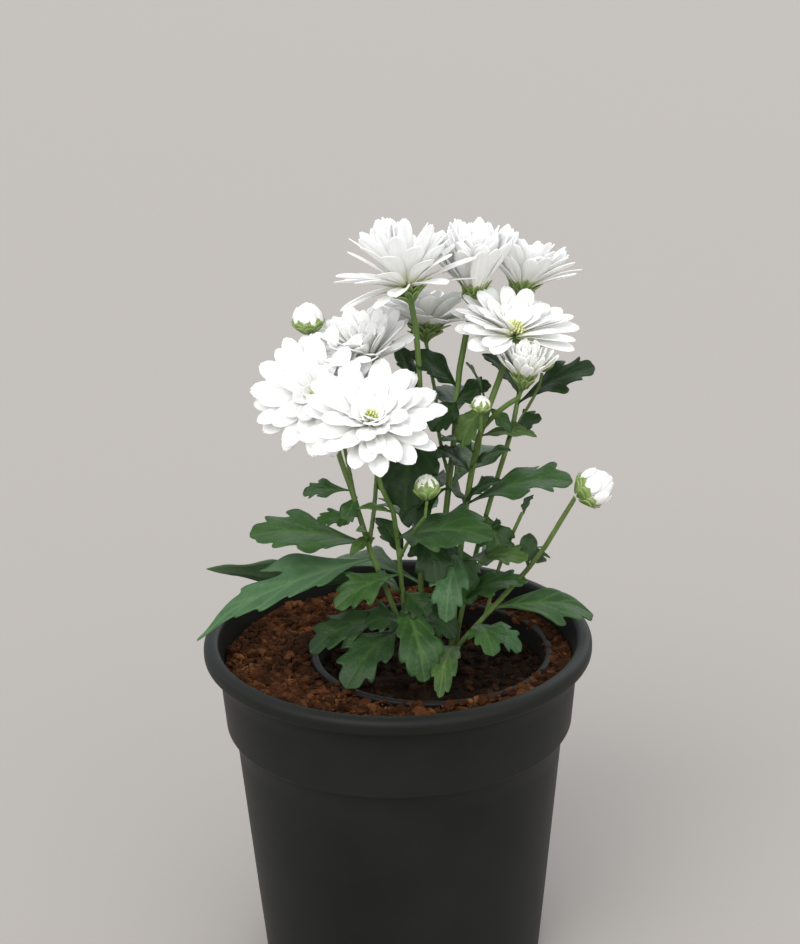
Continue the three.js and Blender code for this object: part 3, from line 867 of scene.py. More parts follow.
def petal_finish():
    """White silk with a yellow-green foot and painted shade greying its grooves."""
    finish = Finish("petal_white_silk", roughness=0.55, specular=0.35)
    along = finish.mark("along")
    grain = finish.noise(700.0, detail=3.0)
    colour = finish.ramp(along, [
        (0.0, (0.62, 0.66, 0.26)),
        (0.14, (0.86, 0.87, 0.64)),
        (0.38, (0.945, 0.945, 0.91)),
        (1.0, (0.955, 0.953, 0.945)),
    ])
    groove = finish.mark("groove")
    # painted shade: the grooves are greyed where shade falls in them
    colour = finish.blend(groove, colour, (0.89, 0.895, 0.885))
    vary = finish.ramp(grain, [(0.3, (0.965, 0.965, 0.96)), (0.7, (1.0, 1.0, 1.0))])
    finish.colour(finish.blend(1.0, colour, vary, "MULTIPLY"))
    finish.bump(groove, 0.0002, 0.5)
    finish.soft(0.2, (1.0, 1.0, 0.9))
    finish.shader.inputs["Sheen Weight"].default_value = 0.15
    return finish.material


PETAL_WHITE = petal_finish()
print("petal thickness", round(PETAL_THICKNESS / MM, 2), "mm")

# %% [markdown]
# ## The shape of one petal
# A flat card with a petal cut out of it is the quick way, but from the side it is a mere line.
# This petal is a grid whose outline is narrow at the foot, widest past the middle and rounded at the tip.
# Sine waves across it make the shallow lengthwise grooves, and a bowl shape bends its edges up or down.
# The sheet follows an arc that starts steep and bends over towards its tip. Two copies of the same grid,
# a quarter of a millimetre apart, give it a real thickness.

# %% One ray petal
def ray_petal(length, width, lift, curl, cup, notch, rows=14, columns=9):
    """Points along +X: lift is its slope at the base and curl how far it bends over, in radians."""
    u = np.linspace(0.0, 1.0, rows) ** 0.9
    v = np.linspace(-1.0, 1.0, columns)
    slope = lift - curl * u**1.3
    step = np.diff(u) * length
    between = (slope[1:] + slope[:-1]) / 2
    run = np.concatenate([[0.0], np.cumsum(np.cos(between) * step)])
    climb = np.concatenate([[0.0], np.cumsum(np.sin(between) * step)])
    round_tip = np.clip(1.0 - np.clip((u - 0.62) / 0.384, 0.0, 1.0) ** 2.5, 0.0, 1.0) ** 0.52
    half = width / 2 * (0.32 + 0.68 * ease(0.0, 0.62, u)) * round_tip
    grid_u, grid_v = np.meshgrid(u, v, indexing="ij")
    tip_pull = notch * length * np.exp(-((grid_v / 0.3) ** 2)) * ease(0.84, 1.0, grid_u)
    waves = np.cos(grid_v * math.pi * 2.4)
    ridges = 0.035 * width * waves * ease(0.1, 0.4, grid_u) * (1 - ease(0.8, 1.0, grid_u))
    bowl = cup * width * grid_v**2 * (1.0 - 0.5 * ease(0.6, 1.0, grid_u)) + ridges
    lean = slope[:, None]
    x = run[:, None] - np.sin(lean) * bowl - np.cos(lean) * tip_pull
    z = climb[:, None] + np.cos(lean) * bowl - np.sin(lean) * tip_pull
    y = half[:, None] * grid_v
    under_x, under_z = x + np.sin(lean) * PETAL_THICKNESS, z - np.cos(lean) * PETAL_THICKNESS
    top = np.stack([x, y, z], -1).reshape(-1, 3)
    below = np.stack([under_x, y, under_z], -1).reshape(-1, 3)
    # how deep a point lies in a groove; the finish greys it as painted shade and also bumps it
    groove = (0.5 - 0.5 * waves) * 0.35 * (1 - ease(0.5, 0.95, grid_u))
    along, groove = np.tile(grid_u.ravel(), 2), np.tile(groove.ravel(), 2)
    return np.concatenate([top, below]), sheet_faces(rows, columns), along, groove


print("one petal has", len(ray_petal(20 * MM, 6 * MM, 0.3, 0.3, 0.0, 0.02)[1]), "faces")


# %% Turning shapes
def turn_to(facing):
    """Rotation that takes +Z to a direction, as a 3 by 3 array."""
    return np.array(Vector((0.0, 0.0, 1.0)).rotation_difference(Vector(facing)).to_matrix())


def around_z(points, angle):
    """Points turned about the vertical."""
    c, s = math.cos(angle), math.sin(angle)
    return points @ np.array([[c, s, 0.0], [-s, c, 0.0], [0.0, 0.0, 1.0]])


print("+X turned by 90 degrees:", np.round(around_z(np.array([1.0, 0.0, 0.0]), math.pi / 2), 3))

# %% [markdown]
# ## Flower heads
# The rays stand in rows on a small dome. The outer row reaches the frame's spread and rise;
# each row inside it is shorter, steeper and has fewer rays. Small random changes of length, slope
# and direction stop the head from looking stamped. No two heads have the same habit: the oldest droop
# at the edge, and the fullest have inner rays that are nearly as long as the outer ones.

# %% Rows and habits
RAY_ROWS = [
    # share of the full length, extra slope in degrees, count, height up the dome in mm
    (1.00, -5.0, 13, 0.0),
    (0.93, 3.0, 12, 0.5),
    (0.82, 12.0, 11, 1.0),
    (0.65, 22.0, 9, 1.5),
    (0.46, 34.0, 8, 1.9),
    (0.30, 46.0, 6, 2.1),
]
HABITS = {
    # how far the lowest rays droop and all rays stray, in degrees, and how long the inner rays are, 0 to 1
    "flower_top_left": (26.0, 13.0, 0.95),
    "flower_top_middle": (0.0, 9.0, 0.7),
    "flower_top_right": (8.0, 10.0, 0.6),
    "flower_rear": (10.0, 9.0, 0.2),
    "flower_right": (2.0, 6.0, 0.0),
    "flower_small": (8.0, 8.0, 0.3),
    "flower_half_open": (0.0, 4.0, 0.7),
}
USUAL_HABIT = (0.0, 5.0, 0.0)
print("rays in a head:", sum(row[2] for row in RAY_ROWS))

# %% [markdown]
# ## The half-open flower
# One flower is half open: its rays are longer than the cup is wide, curl inwards instead of outwards,
# and are still tinted green. It pushed up between its neighbours, so they leave out the rays that would
# run through it, as real ones are pressed aside.

# %% The half-open flower
HALF_OPEN = "flower_half_open"
HALF_OPEN_REACH = 1.2
HALF_OPEN_CURL = -3.0
HALF_OPEN_TINT = 0.5
HALF_OPEN_ROOM = 13 * MM
half_open_middle = head_facts[HALF_OPEN][0] + head_facts[HALF_OPEN][1] * 6 * MM


def in_the_way(tip, name):
    """Whether a ray of another flower would end inside the half-open one."""
    return name != HALF_OPEN and np.linalg.norm(tip - half_open_middle) < HALF_OPEN_ROOM


print("half-open flower at", np.round(half_open_middle / MM), "mm")


# %% Rays of one head
def flower_rays(name, base, facing, spread, rise, tightness):
    """All the rays of a head as one piece. tightness is 0 for a flat head and 1 for a closed one."""
    rng = seeded(name)
    batch = Batch()
    turn = turn_to(facing)
    reach = math.hypot(spread, rise) * (HALF_OPEN_REACH if name == HALF_OPEN else 1.0)
    tint = HALF_OPEN_TINT if name == HALF_OPEN else 1.0
    slope = math.atan2(rise, spread)
    droop, stray, full = HABITS.get(name, USUAL_HABIT)
    for row, (share, extra, count, height) in enumerate(RAY_ROWS):
        start = rng.uniform(0, math.tau)
        fall = math.radians(droop) * max(0.0, 1.0 - row / 2)
        for k in range(count):
            length = (reach - 1.2 * MM) * share ** (1.0 - full) * rng.uniform(0.86, 1.0)
            curl = math.radians(rng.uniform(8, 30)) * (1.0 - 0.6 * tightness)
            if name == HALF_OPEN:
                curl = HALF_OPEN_CURL * curl
            steep = math.radians(extra) * (1.0 - 0.5 * tightness + 0.5 * full)
            lift = slope + steep - fall * rng.uniform(0.3, 1.0) + curl / 2
            lift = min(lift + math.radians(rng.uniform(-stray, stray)), math.radians(100))
            width = reach * rng.uniform(0.25, 0.305) * (0.75 + 0.25 * share) * (1.0 - 0.15 * tightness)
            petal, faces, along, groove = ray_petal(
                length, width, lift, curl, rng.uniform(-0.06, 0.14), rng.uniform(0.0, 0.04)
            )
            petal = petal + np.array([(1.9 - 0.22 * row) * MM, 0.0, height * MM])
            tilt = Matrix.Rotation(rng.uniform(-0.25, 0.25), 3, "X")
            petal = petal @ np.array(tilt).T
            petal = around_z(petal, start + math.tau * (k + rng.uniform(-0.22, 0.22)) / count)
            petal = petal @ turn.T + base
            if in_the_way(petal[along > 0.99].mean(0), name):
                continue
            batch.add(petal, faces, along=along * tint, groove=groove)
    return batch.make(name + "_rays", PETAL_WHITE, "petal_white", replaces=[name])


for name, (base, facing, spread, rise) in head_facts.items():
    tightness = float(ease(0.5, 1.3, rise / spread))
    flower_rays(name, base, facing, spread, rise, tightness)
print("flower heads:", len(head_facts))

# %% [markdown]
# ## Eyes
# In the middle of an open head sit the tube florets, yellow-green and only a millimetre or two tall.
# A bumpy button would look right from afar. From near they have to be separate, so they stand on
# a spiral with the golden angle between neighbours, the way real ones pack together.
# Half-closed heads hide their eye, so they get none.

# %% The eye of each open flower
EYE_RADIUS = 3.4 * MM
EYE_FLORETS = 54
GOLDEN_ANGLE = math.radians(137.5)


def eye_finish():
    """Florets from green to pale yellow, by the mark on each."""
    finish = Finish("eye_yellow_green", roughness=0.6, specular=0.3)
    yellows = [(0.0, (0.50, 0.58, 0.14)), (0.6, (0.74, 0.76, 0.30)), (1.0, (0.88, 0.87, 0.55))]
    finish.colour(finish.ramp(finish.mark("tone"), yellows))
    finish.soft(0.2, (0.9, 0.9, 0.4))
    return finish.material


EYE_YELLOW = eye_finish()


def flower_eye(name, base, facing, height):
    """Tube florets on a spiral, in a low dome."""
    rng = seeded(name + " eye")
    batch = Batch()
    turn = turn_to(facing)
    for k in range(EYE_FLORETS):
        away = EYE_RADIUS * math.sqrt((k + 0.5) / EYE_FLORETS)
        angle = k * GOLDEN_ANGLE
        lift = height + 1.6 * MM * (1 - (away / EYE_RADIUS) ** 2)
        foot = np.array([away * math.cos(angle), away * math.sin(angle), lift])
        lean = np.array([math.cos(angle), math.sin(angle), 0.0]) * away / EYE_RADIUS * 0.6 * MM
        tall = rng.uniform(0.9, 1.5) * MM
        path = [foot, foot + lean * 0.5 + (0, 0, tall * 0.6), foot + lean + (0, 0, tall)]
        shape, faces = tube(path, np.array([0.26, 0.36, 0.14]) * MM, 6)
        batch.add(shape @ turn.T + base, faces, tone=rng.random())
    return batch.make(name + "_eye", EYE_YELLOW, "petal_white")


for name, (base, facing, spread, rise) in head_facts.items():
    if rise / spread < 0.8:
        flower_eye(name, base, facing, 3.0 * MM)
        print("eye made:", name)

# %% [markdown]
# ## Stems
# The stalks are fresh green, a little paler along fine lengthwise ridges and browner in places.
# A noise stretched along the vertical draws the ridges, and a broad one places the darker patches.


# %% Stem finish
def stem_finish():
    """Ridged fresh green with browner places."""
    finish = Finish("stem_fresh_green", roughness=0.5, specular=0.4)
    streaks = finish.noise(260.0, detail=3.0, stretch=(1.0, 1.0, 0.06))
    patches = finish.noise(60.0, detail=2.0)
    colour = finish.ramp(streaks, [(0.3, (0.06, 0.12, 0.022)), (0.7, (0.15, 0.24, 0.06))])
    browned = finish.ramp(patches, [(0.4, (0.0, 0.0, 0.0)), (0.75, (0.6, 0.6, 0.6))])
    finish.colour(finish.blend(browned, colour, (0.09, 0.10, 0.03)))
    finish.bump(streaks, 0.0003, 0.6)
    finish.soft(0.1, (0.4, 0.7, 0.2))
    return finish.material


STEM_GREEN = stem_finish()
print("stem finish ready")

# %% [markdown]
# ## Shoots
# A stalk, its side stalks and the cup under each flower grew as one piece, so one mesh is right.
# In the frame they are round rods that run into each other, with hard creases at the forks.
# A voxel remesh melts a copy of them into one skin, and smoothing rounds the forks like real ones.


# %% Remeshed shoots
def grown_shoot(name, voxel=0.42 * MM, rounds=6):
    """A copy of a shoot with its rods melted into one skin."""
    mesh = nodes[name].data.copy()
    mesh.name = name + "_grown"
    shoot = bpy.data.objects.new(name + "_grown", mesh)
    bpy.context.scene.collection.objects.link(shoot)
    weld = shoot.modifiers.new("weld", "WELD")
    weld.merge_threshold = 0.00001
    remesh = shoot.modifiers.new("remesh", "REMESH")
    remesh.mode = "VOXEL"
    remesh.voxel_size = voxel
    smooth = shoot.modifiers.new("smooth", "SMOOTH")
    smooth.factor = 0.5
    smooth.iterations = rounds
    bpy.context.view_layer.update()
    evaluated = shoot.evaluated_get(bpy.context.evaluated_depsgraph_get())
    grown = bpy.data.meshes.new_from_object(evaluated)
    shoot.modifiers.clear()
    shoot.data = grown
    grown.materials.clear()
    grown.materials.append(STEM_GREEN)
    grown.shade_smooth()
    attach(shoot, "root")
    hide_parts(name)
    return shoot


for name in SHOOTS:
    shoot = grown_shoot(name)
    print(shoot.name, len(shoot.data.polygons), "faces")

# %% [markdown]
# ## Bracts under the flowers
# Under every flower sits a cup of small overlapping green scales with pale papery edges.
# One green bowl could stand for them, but their tips are what is seen between the petals.
# They are short petals again, narrower, hugging the underside of the head in two rows.


# %% Bract finish
def bract_finish():
    """Green that is paler towards the tip and at the edges."""
    finish = Finish("bract_green", roughness=0.5, specular=0.35)
    along = finish.mark("along")
    side = finish.mark("groove")
    greens = [(0.0, (0.06, 0.13, 0.02)), (0.6, (0.13, 0.235, 0.04)), (1.0, (0.24, 0.32, 0.10))]
    colour = finish.ramp(along, greens)
    finish.colour(finish.blend(side, colour, (0.34, 0.42, 0.18)))
    finish.bump(finish.noise(500.0), 0.0002, 0.4)
    return finish.material


BRACT_GREEN = bract_finish()
print("bract finish ready")


# %% One bract
def bract(length, width, lift, curl):
    """A pointed scale with a pale edge."""
    rows, columns = 7, 5
    petal, faces, along, _ = ray_petal(length, width, lift, curl, -0.12, 0.0, rows, columns)
    edge = np.abs(np.tile(np.linspace(-1.0, 1.0, columns), rows))
    return petal, faces, along, np.concatenate([edge, edge]) ** 3


print("one bract has", len(bract(7 * MM, 2.3 * MM, 0.5, 0.35)[1]), "faces")

# %% Bract cups
BRACT_WIDTH = 2.3 * MM
BRACT_CURL = 0.35
BRACT_ROWS = [
    # count, how far below the head's base, length and distance from the axis, all three in mm
    (13, 2.6, 7.0, 1.6),
    (12, 4.0, 5.6, 1.2),
]


def bract_cup(name, base, facing, slope):
    """Two rows of bracts round the base of a head whose rays leave at the slope."""
    rng = seeded(name + " bracts")
    batch = Batch()
    turn = turn_to(facing)
    for count, drop, length, out in BRACT_ROWS:
        for k in range(count):
            long = length * MM * rng.uniform(0.9, 1.1)
            lift = max(slope, 0.45) + 0.25 + rng.uniform(-0.1, 0.1)
            shape, faces, along, edge = bract(long, BRACT_WIDTH, lift, BRACT_CURL)
            shape = shape + np.array([out * MM, 0.0, -drop * MM])
            shape = around_z(shape, math.tau * (k + rng.uniform(-0.15, 0.15)) / count)
            batch.add(shape @ turn.T + base, faces, along=along, groove=edge)
    return batch.make(name + "_bracts", BRACT_GREEN, "stem_green")


for name, (base, facing, spread, rise) in head_facts.items():
    bract_cup(name, base, facing, math.atan2(rise, spread))
print("bract cups made:", len(head_facts))

# %% [markdown]
# ## Buds
# A bud is an egg of tightly folded white rays in a cup of bracts; a young one is nearly all bract.
# A smooth egg with painted scales would keep a smooth outline, so the scales are separate sheets.
# The egg is measured from its solid: the long axis is the way it points, away from its stalk.
# Rows of thin scales follow the egg, white ones first and green bracts over them. On an opening bud
# the outer white scales start to stand off.


# %% Measure a bud
def bud_shape(name):
    """Base, facing, radius and height of a bud's solid."""
    points = node_points(name)
    middle, axes, _ = main_axes(name)
    facing = axes[2]
    if facing @ (middle - nearest_stalk(middle)) < 0:
        facing = -facing
    height = (points - middle) @ facing
    away = np.linalg.norm(points - middle - height[:, None] * facing, axis=1)
    return middle + facing * height.min(), facing, away.max(), height.max() - height.min()


print("buds measured:", {name: round(bud_shape(name)[3] / MM, 1) for name in BUDS})


# %% The egg and a scale that hugs it
EGG_WIDEST = 0.42


def egg_radius(share):
    """Radius of the bud's egg at a share of its height, as a share of its full radius."""
    share = np.clip(share, 0.0, 1.0)
    return np.where(
        share < EGG_WIDEST,
        0.35 + 0.65 * np.sin(share / EGG_WIDEST * math.pi / 2) ** 0.9,
        np.cos((share - EGG_WIDEST) / (1 - EGG_WIDEST) * math.pi / 2) ** 0.7,
    )


def hugging_scale(radius, height, width, low, high, stand_off, rows=9, columns=7):
    """A scale that follows the egg from one share of its height to another."""
    u = np.linspace(0.0, 1.0, rows)
    v = np.linspace(-1.0, 1.0, columns)
    grid_u, grid_v = np.meshgrid(u, v, indexing="ij")
    share = low + (high - low) * grid_u
    round_tip = np.sqrt(np.clip(1 - np.clip(grid_u - 0.55, 0, 1) ** 2 / 0.205, 0, 1))
    angle = -grid_v * width * (0.35 + 0.65 * ease(0.0, 0.45, grid_u)) * round_tip
    flare = stand_off * (0.4 + 1.8 * grid_u * (1 - 0.5 * np.abs(grid_v)))
    sheets = []
    for inset in (0.0, -0.22 * MM):
        reach = radius * egg_radius(share) + flare + inset
        sheet = np.stack([reach * np.cos(angle), reach * np.sin(angle), share * height], -1)
        sheets.append(sheet.reshape(-1, 3))
    along, edge = np.tile(grid_u.ravel(), 2), np.tile(np.abs(grid_v).ravel() ** 3, 2)
    return np.concatenate(sheets), sheet_faces(rows, columns), along, edge


print("radius of the egg at its widest:", round(float(egg_radius(EGG_WIDEST)), 2))


# %% One bud
def bud(name, opening):
    """A bud of white and green scales. opening runs from 0, all bract, to 1, showing white rays."""
    base, facing, radius, height = bud_shape(name)
    rng = seeded(name)
    turn = turn_to(facing)
    white, green = Batch(), Batch()
    core_rows = [(share, 0.93 * radius * float(egg_radius(share))) for share in np.linspace(0.02, 0.985, 14)]
    core = [(0.0, 0.0)] + [(r, share * height) for share, r in core_rows] + [(0.0, height * 0.99)]
    points, faces = spin(core, 18)
    # groove=0.3 greys the core a little with the petal finish's painted shade
    white.add(np.array(points) @ turn.T + base, faces, along=0.2 + 0.7 * opening, groove=0.3)
    loose = max(0.0, opening - 0.6)
    folds = (
        # count, foot and tip as shares of the height, stand-off, width as an angle
        (7, 0.15, 1.0, 0.0, 0.62),
        (7, 0.1 + loose / 2, 0.96, 0.3 + loose, 0.6),
        (6, 0.05 + loose / 2, 0.9 - loose / 3, 0.6 + 3 * loose, 0.5),
    )
    for count, low, high, off, wide in folds:
        start = rng.uniform(0, math.tau)
        for k in range(count):
            top = high * rng.uniform(0.96, 1.0)
            shape, faces, along, edge = hugging_scale(radius * 0.95, height, wide, low, top, off * 0.5 * MM)
            shape = around_z(shape, start + math.tau * k / count)
            paleness = 0.08 + 0.2 * along + opening * (0.17 + 0.55 * along)
            # the groove mark greys the white scales' edges, where they overlap, with painted shade
            white.add(shape @ turn.T + base, faces, along=paleness, groove=edge * 0.5)
    tall = 0.86 - 0.42 * opening
    for count, high, off in ((9, tall, 0.5), (8, tall * 0.8, 0.75), (7, tall * 0.55, 1.0)):
        start = rng.uniform(0, math.tau)
        for k in range(count):
            top = high * rng.uniform(0.92, 1.05)
            stand_off = off * (0.5 + loose) * MM
            shape, faces, along, edge = hugging_scale(radius * 0.95, height, 0.44, 0.0, top, stand_off)
            shape = around_z(shape, start + math.tau * (k + rng.uniform(-0.1, 0.1)) / count)
            green.add(shape @ turn.T + base, faces, along=along, groove=edge)
    white.make(name + "_rays", PETAL_WHITE, "bud_green", replaces=[name])
    green.make(name + "_bracts", BRACT_GREEN, "bud_green")
    print(name, "radius", round(radius / MM, 1), "height", round(height / MM, 1))


# %% Every bud
BUD_OPENING = {"bud_left": 0.7, "bud_right_low": 1.0, "bud_right_high": 0.0, "bud_middle_small": 0.1}
for name in BUDS:
    bud(name, BUD_OPENING.get(name, 0.0))
print("buds made:", len(BUDS))

# %% [markdown]
# ## Leaves
# A chrysanthemum leaf widens from a narrow foot into a wedge, then splits into forward-pointing lobes.
# Young leaves are yellowish. The dark tone is painted shade for leaves deep in the plant, in the liner and
# behind others, over their own deeper green; the grey-green tone is partly their own colour and partly
# painted sheen. So there are four tones.
# The finish mixes a blotchy green with paler veins and a paler underside. Vein, underside and tone
# are stored on the points, because only the maker of the mesh knows where they are.

# %% Leaf finish
LEAF_THICKNESS = 0.32 * MM


def leaf_finish(name, gloss, dark, middle, vein):
    """Blotchy green from dark to middle, with veins and a paler underside."""
    finish = Finish(name, roughness=gloss, specular=0.3)
    vein_mark = finish.mark("vein")
    under = finish.mark("under")
    tone = finish.mark("tone")
    blotch = finish.noise(150.0, detail=5.0, roughness=0.6)
    fine = finish.noise(620.0, detail=4.0)
    colour = finish.ramp(blotch, [(0.3, dark), (0.72, middle)])
    lighter = tuple(min(1.0, c * 1.9 + 0.01) for c in middle)
    colour = finish.blend(tone, colour, lighter)
    colour = finish.blend(vein_mark, colour, vein)
    pale = tuple(c * 1.5 + 0.03 for c in middle)
    finish.colour(finish.blend(under, colour, pale))
    finish.rough(blotch, gloss - 0.07, gloss + 0.12)
    finish.bump(fine, 0.0005, 0.6)
    finish.soft(0.12, (0.3, 0.7, 0.15))
    return finish.material


# name, gloss, then the dark, middle and vein greens
LEAF_GREEN = leaf_finish(
    "leaf_green", 0.45, (0.009, 0.034, 0.005), (0.026, 0.078, 0.012), (0.065, 0.135, 0.028)
)
# grey green: partly the leaves' own colour and partly painted sheen, paler and greyer than the usual green
LEAF_GREY_SHEEN = leaf_finish(
    "leaf_grey_green_painted_sheen", 0.5, (0.020, 0.058, 0.018), (0.050, 0.122, 0.042), (0.10, 0.19, 0.08)
)
LEAF_YOUNG = leaf_finish(
    "leaf_young_green", 0.42, (0.024, 0.062, 0.013), (0.06, 0.115, 0.022), (0.13, 0.19, 0.05)
)
# dark green: painted shade for leaves deep in the plant, over their own deeper green
LEAF_DARK_SHADED = leaf_finish(
    "leaf_dark_green_painted_shade", 0.45, (0.005, 0.020, 0.003), (0.014, 0.045, 0.007), (0.036, 0.078, 0.015)
)
print("leaf finishes: green, grey green, young, dark")

# %% [markdown]
# ## Leaf outlines
# Each outline is one half of a blade: share of the length along the midrib, then share of the half-width.
# A drawn curve would be smoother to edit by hand, but as points the outline can be stretched and bent.
# A blade has two of them, so the great leaf can be lobed on one side and only serrate on the other.
# Different leaves of one plant really do vary that much, from deeply lobed to nearly plain.

# %% Leaf outlines
LOBED = [
    (0.00, 0.05), (0.08, 0.06), (0.18, 0.14), (0.30, 0.36), (0.40, 0.58), (0.45, 0.70),
    (0.50, 0.84), (0.53, 0.84), (0.60, 0.97), (0.66, 1.00), (0.69, 0.94), (0.675, 0.80),
    (0.655, 0.66), (0.69, 0.62), (0.76, 0.72), (0.83, 0.80), (0.87, 0.76), (0.865, 0.62),
    (0.85, 0.50), (0.88, 0.46), (0.94, 0.46), (0.975, 0.36), (0.985, 0.22), (1.00, 0.10),
    (1.00, 0.0),
]
SCALLOPED = [
    (0.00, 0.07), (0.08, 0.10), (0.17, 0.40), (0.26, 0.64), (0.33, 0.66), (0.33, 0.56),
    (0.40, 0.78), (0.48, 0.92), (0.55, 0.90), (0.545, 0.76), (0.62, 0.88), (0.71, 1.00),
    (0.79, 0.98), (0.81, 0.84), (0.80, 0.72), (0.87, 0.76), (0.945, 0.64), (0.955, 0.48),
    (0.935, 0.36), (0.985, 0.30), (1.00, 0.14), (1.00, 0.0),
]
TOOTHED = [
    (0.00, 0.06), (0.10, 0.12), (0.20, 0.42), (0.31, 0.74), (0.40, 0.88), (0.42, 0.74),
    (0.50, 0.94), (0.60, 1.02), (0.66, 0.96), (0.64, 0.78), (0.72, 0.86), (0.82, 0.84),
    (0.85, 0.70), (0.82, 0.54), (0.89, 0.54), (0.955, 0.42), (0.955, 0.26), (0.99, 0.16),
    (1.00, 0.06), (1.00, 0.0),
]
LONG_TIPPED = [
    (0.00, 0.05), (0.10, 0.10), (0.20, 0.34), (0.30, 0.62), (0.37, 0.84), (0.44, 0.98),
    (0.52, 1.04), (0.565, 1.00), (0.55, 0.84), (0.49, 0.62), (0.455, 0.44), (0.50, 0.36),
    (0.58, 0.44), (0.66, 0.47), (0.70, 0.42), (0.70, 0.31), (0.76, 0.26), (0.84, 0.19),
    (0.90, 0.10), (0.95, 0.05), (1.00, 0.03), (1.00, 0.0),
]
SERRATE = [
    (0.00, 0.05), (0.10, 0.08), (0.20, 0.26), (0.29, 0.50), (0.35, 0.54), (0.335, 0.42),
    (0.43, 0.60), (0.51, 0.66), (0.495, 0.50), (0.58, 0.56), (0.67, 0.56), (0.66, 0.40),
    (0.74, 0.38), (0.79, 0.34), (0.78, 0.24), (0.86, 0.17), (0.92, 0.09), (0.96, 0.05),
    (1.00, 0.03), (1.00, 0.0),
]
SLIM = [
    (0.0, 0.08), (0.1, 0.20), (0.25, 0.55), (0.42, 0.90), (0.56, 1.00), (0.70, 0.86),
    (0.84, 0.54), (0.94, 0.24), (1.0, 0.0),
]
NARROW = [(x, y * 0.55) for x, y in SLIM]
print("leaf outlines: lobed, scalloped, toothed, long-tipped, serrate, slim, narrow")

# %% [markdown]
# ## From an outline to a blade
# An outline filled with one face cannot arch or fold, so the blade is a grid. The corners of the outline
# are cut and its points are spread evenly. Every row then runs from the left margin over the midrib to
# the right margin. Rows lean forward like the side veins do, which keeps the cells between the lobes
# from folding over each other.


# %% Even margins
def round_off(line):
    """Cut the corners of a line, keeping its ends."""
    line = np.asarray(line, dtype=float)
    near = line[:-1] * 0.75 + line[1:] * 0.25
    far = line[:-1] * 0.25 + line[1:] * 0.75
    return np.concatenate([line[:1], np.stack([near, far], 1).reshape(-1, 2), line[-1:]])


def even_margin(outline, count):
    """The rounded outline as points an even distance apart."""
    line = round_off(outline)
    walked = np.concatenate([[0.0], np.cumsum(np.hypot(*np.diff(line, axis=0).T))])
    stops = np.linspace(0.0, walked[-1], count)
    return np.stack([np.interp(stops, walked, line[:, 0]), np.interp(stops, walked, line[:, 1])], 1)


print("an even margin of LOBED starts:", np.round(even_margin(LOBED, 76)[:2], 3).tolist())

# %% Veins
# foot on the midrib and end near the margin, as shares of the length and of the half-width
VEIN_ENDS = [((0.20, 0.0), (0.62, 0.90)), ((0.42, 0.0), (0.82, 0.70)), ((0.62, 0.0), (0.94, 0.36))]


def vein_depth(x, y):
    """How close a place is to a vein, from 0 to 1."""
    depth = np.exp(-((y / 0.04) ** 2)) * (1 - 0.5 * x)
    for (x0, y0), (x1, y1) in VEIN_ENDS:
        dx, dy = x1 - x0, y1 - y0
        t = np.clip(((x - x0) * dx + (y - y0) * dy) / (dx * dx + dy * dy), 0.0, 1.0)
        gap = np.hypot(x - x0 - t * dx, (y - y0 - t * dy) * 0.6)
        depth = np.maximum(depth, 0.7 * np.exp(-((gap / 0.018) ** 2)) * (1 - 0.6 * t))
    return depth


print("vein depth on the midrib:", round(float(vein_depth(0.5, 0.0)), 2))


# %% Grid of a blade
def leaf_grid(left, right, rng, count=76, across=7):
    """A blade: x along, y across from -1 to 1, one row for each point of the margins."""
    margins = {-1: even_margin(left, count), 1: even_margin(right, count)}
    ribs = [np.maximum.accumulate(m[:, 0] - 0.25 * m[:, 1]) for m in margins.values()]
    rib = (ribs[0] + ribs[1]) / 2 + np.linspace(0, 1e-3, count)
    rib = (rib - rib[0]) / (rib[-1] - rib[0])
    shares = np.concatenate([-np.linspace(1, 0, across), np.linspace(0, 1, across)[1:]])
    swing = {side: (rng.uniform(-1, 1), rng.uniform(0, math.tau)) for side in (-1, 1)}
    x = np.empty((count, len(shares)))
    y = np.empty_like(x)
    for column, share in enumerate(shares):
        side = 1 if share >= 0 else -1
        margin = margins[side]
        size, phase = swing[side]
        stretch = 1 + 0.08 * size * np.sin(margin[:, 0] * 7 + phase)
        reach = abs(share)
        x[:, column] = rib * (1 - reach) + margin[:, 0] * reach
        y[:, column] = side * reach * margin[:, 1] * stretch
    return x, y


print("blade grid:", leaf_grid(LOBED, LOBED, seeded("blade"))[0].shape, "points")

# %% [markdown]
# ## Laying blades over the solids
# A leaf's solid tells where the leaf is rooted, where its tip is, how wide it is, how it arches and how its
# two halves fold upwards. The last two come from a least-squares fit through its corners.
# The blade gets ripples, sunken veins and a drooping tip on top of that.


# %% Measure a leaf
def measure_leaf(name):
    """Foot, tip direction, across, normal, length, half-width, arch and fold of a leaf's solid."""
    points = node_points(name)
    middle, axes, _ = main_axes(name)
    along = axes[2]
    reach = (points - middle) @ along
    low, high = reach.min(), reach.max()
    length = high - low
    across = axes[1]
    side = np.abs((points - middle) @ across)
    near_low = side[(reach < low + 0.22 * length)].max()
    near_high = side[(reach > high - 0.22 * length)].max()
    if near_low > near_high:
        along, low, high = -along, -high, -low
        reach = -reach
    foot = points[reach < low + 0.08 * length].mean(0)
    tip = points[reach > high - 0.03 * length].mean(0)
    along = (tip - foot) / np.linalg.norm(tip - foot)
    length = np.linalg.norm(tip - foot)
    normal = np.cross(along, across)
    normal /= np.linalg.norm(normal)
    if normal[2] < 0:
        normal = -normal
    across = np.cross(normal, along)
    offset = points - foot
    t, s, h = offset @ along / length, offset @ across, offset @ normal
    fit = np.stack([4 * t * (1 - t), np.abs(s)], 1)
    arch, fold = np.linalg.lstsq(fit, h, rcond=None)[0]
    return foot, along, across, normal, length, np.abs(s).max(), arch, fold


print("leaf lengths in mm:", [round(measure_leaf(name)[4] / MM) for name in LEAVES])

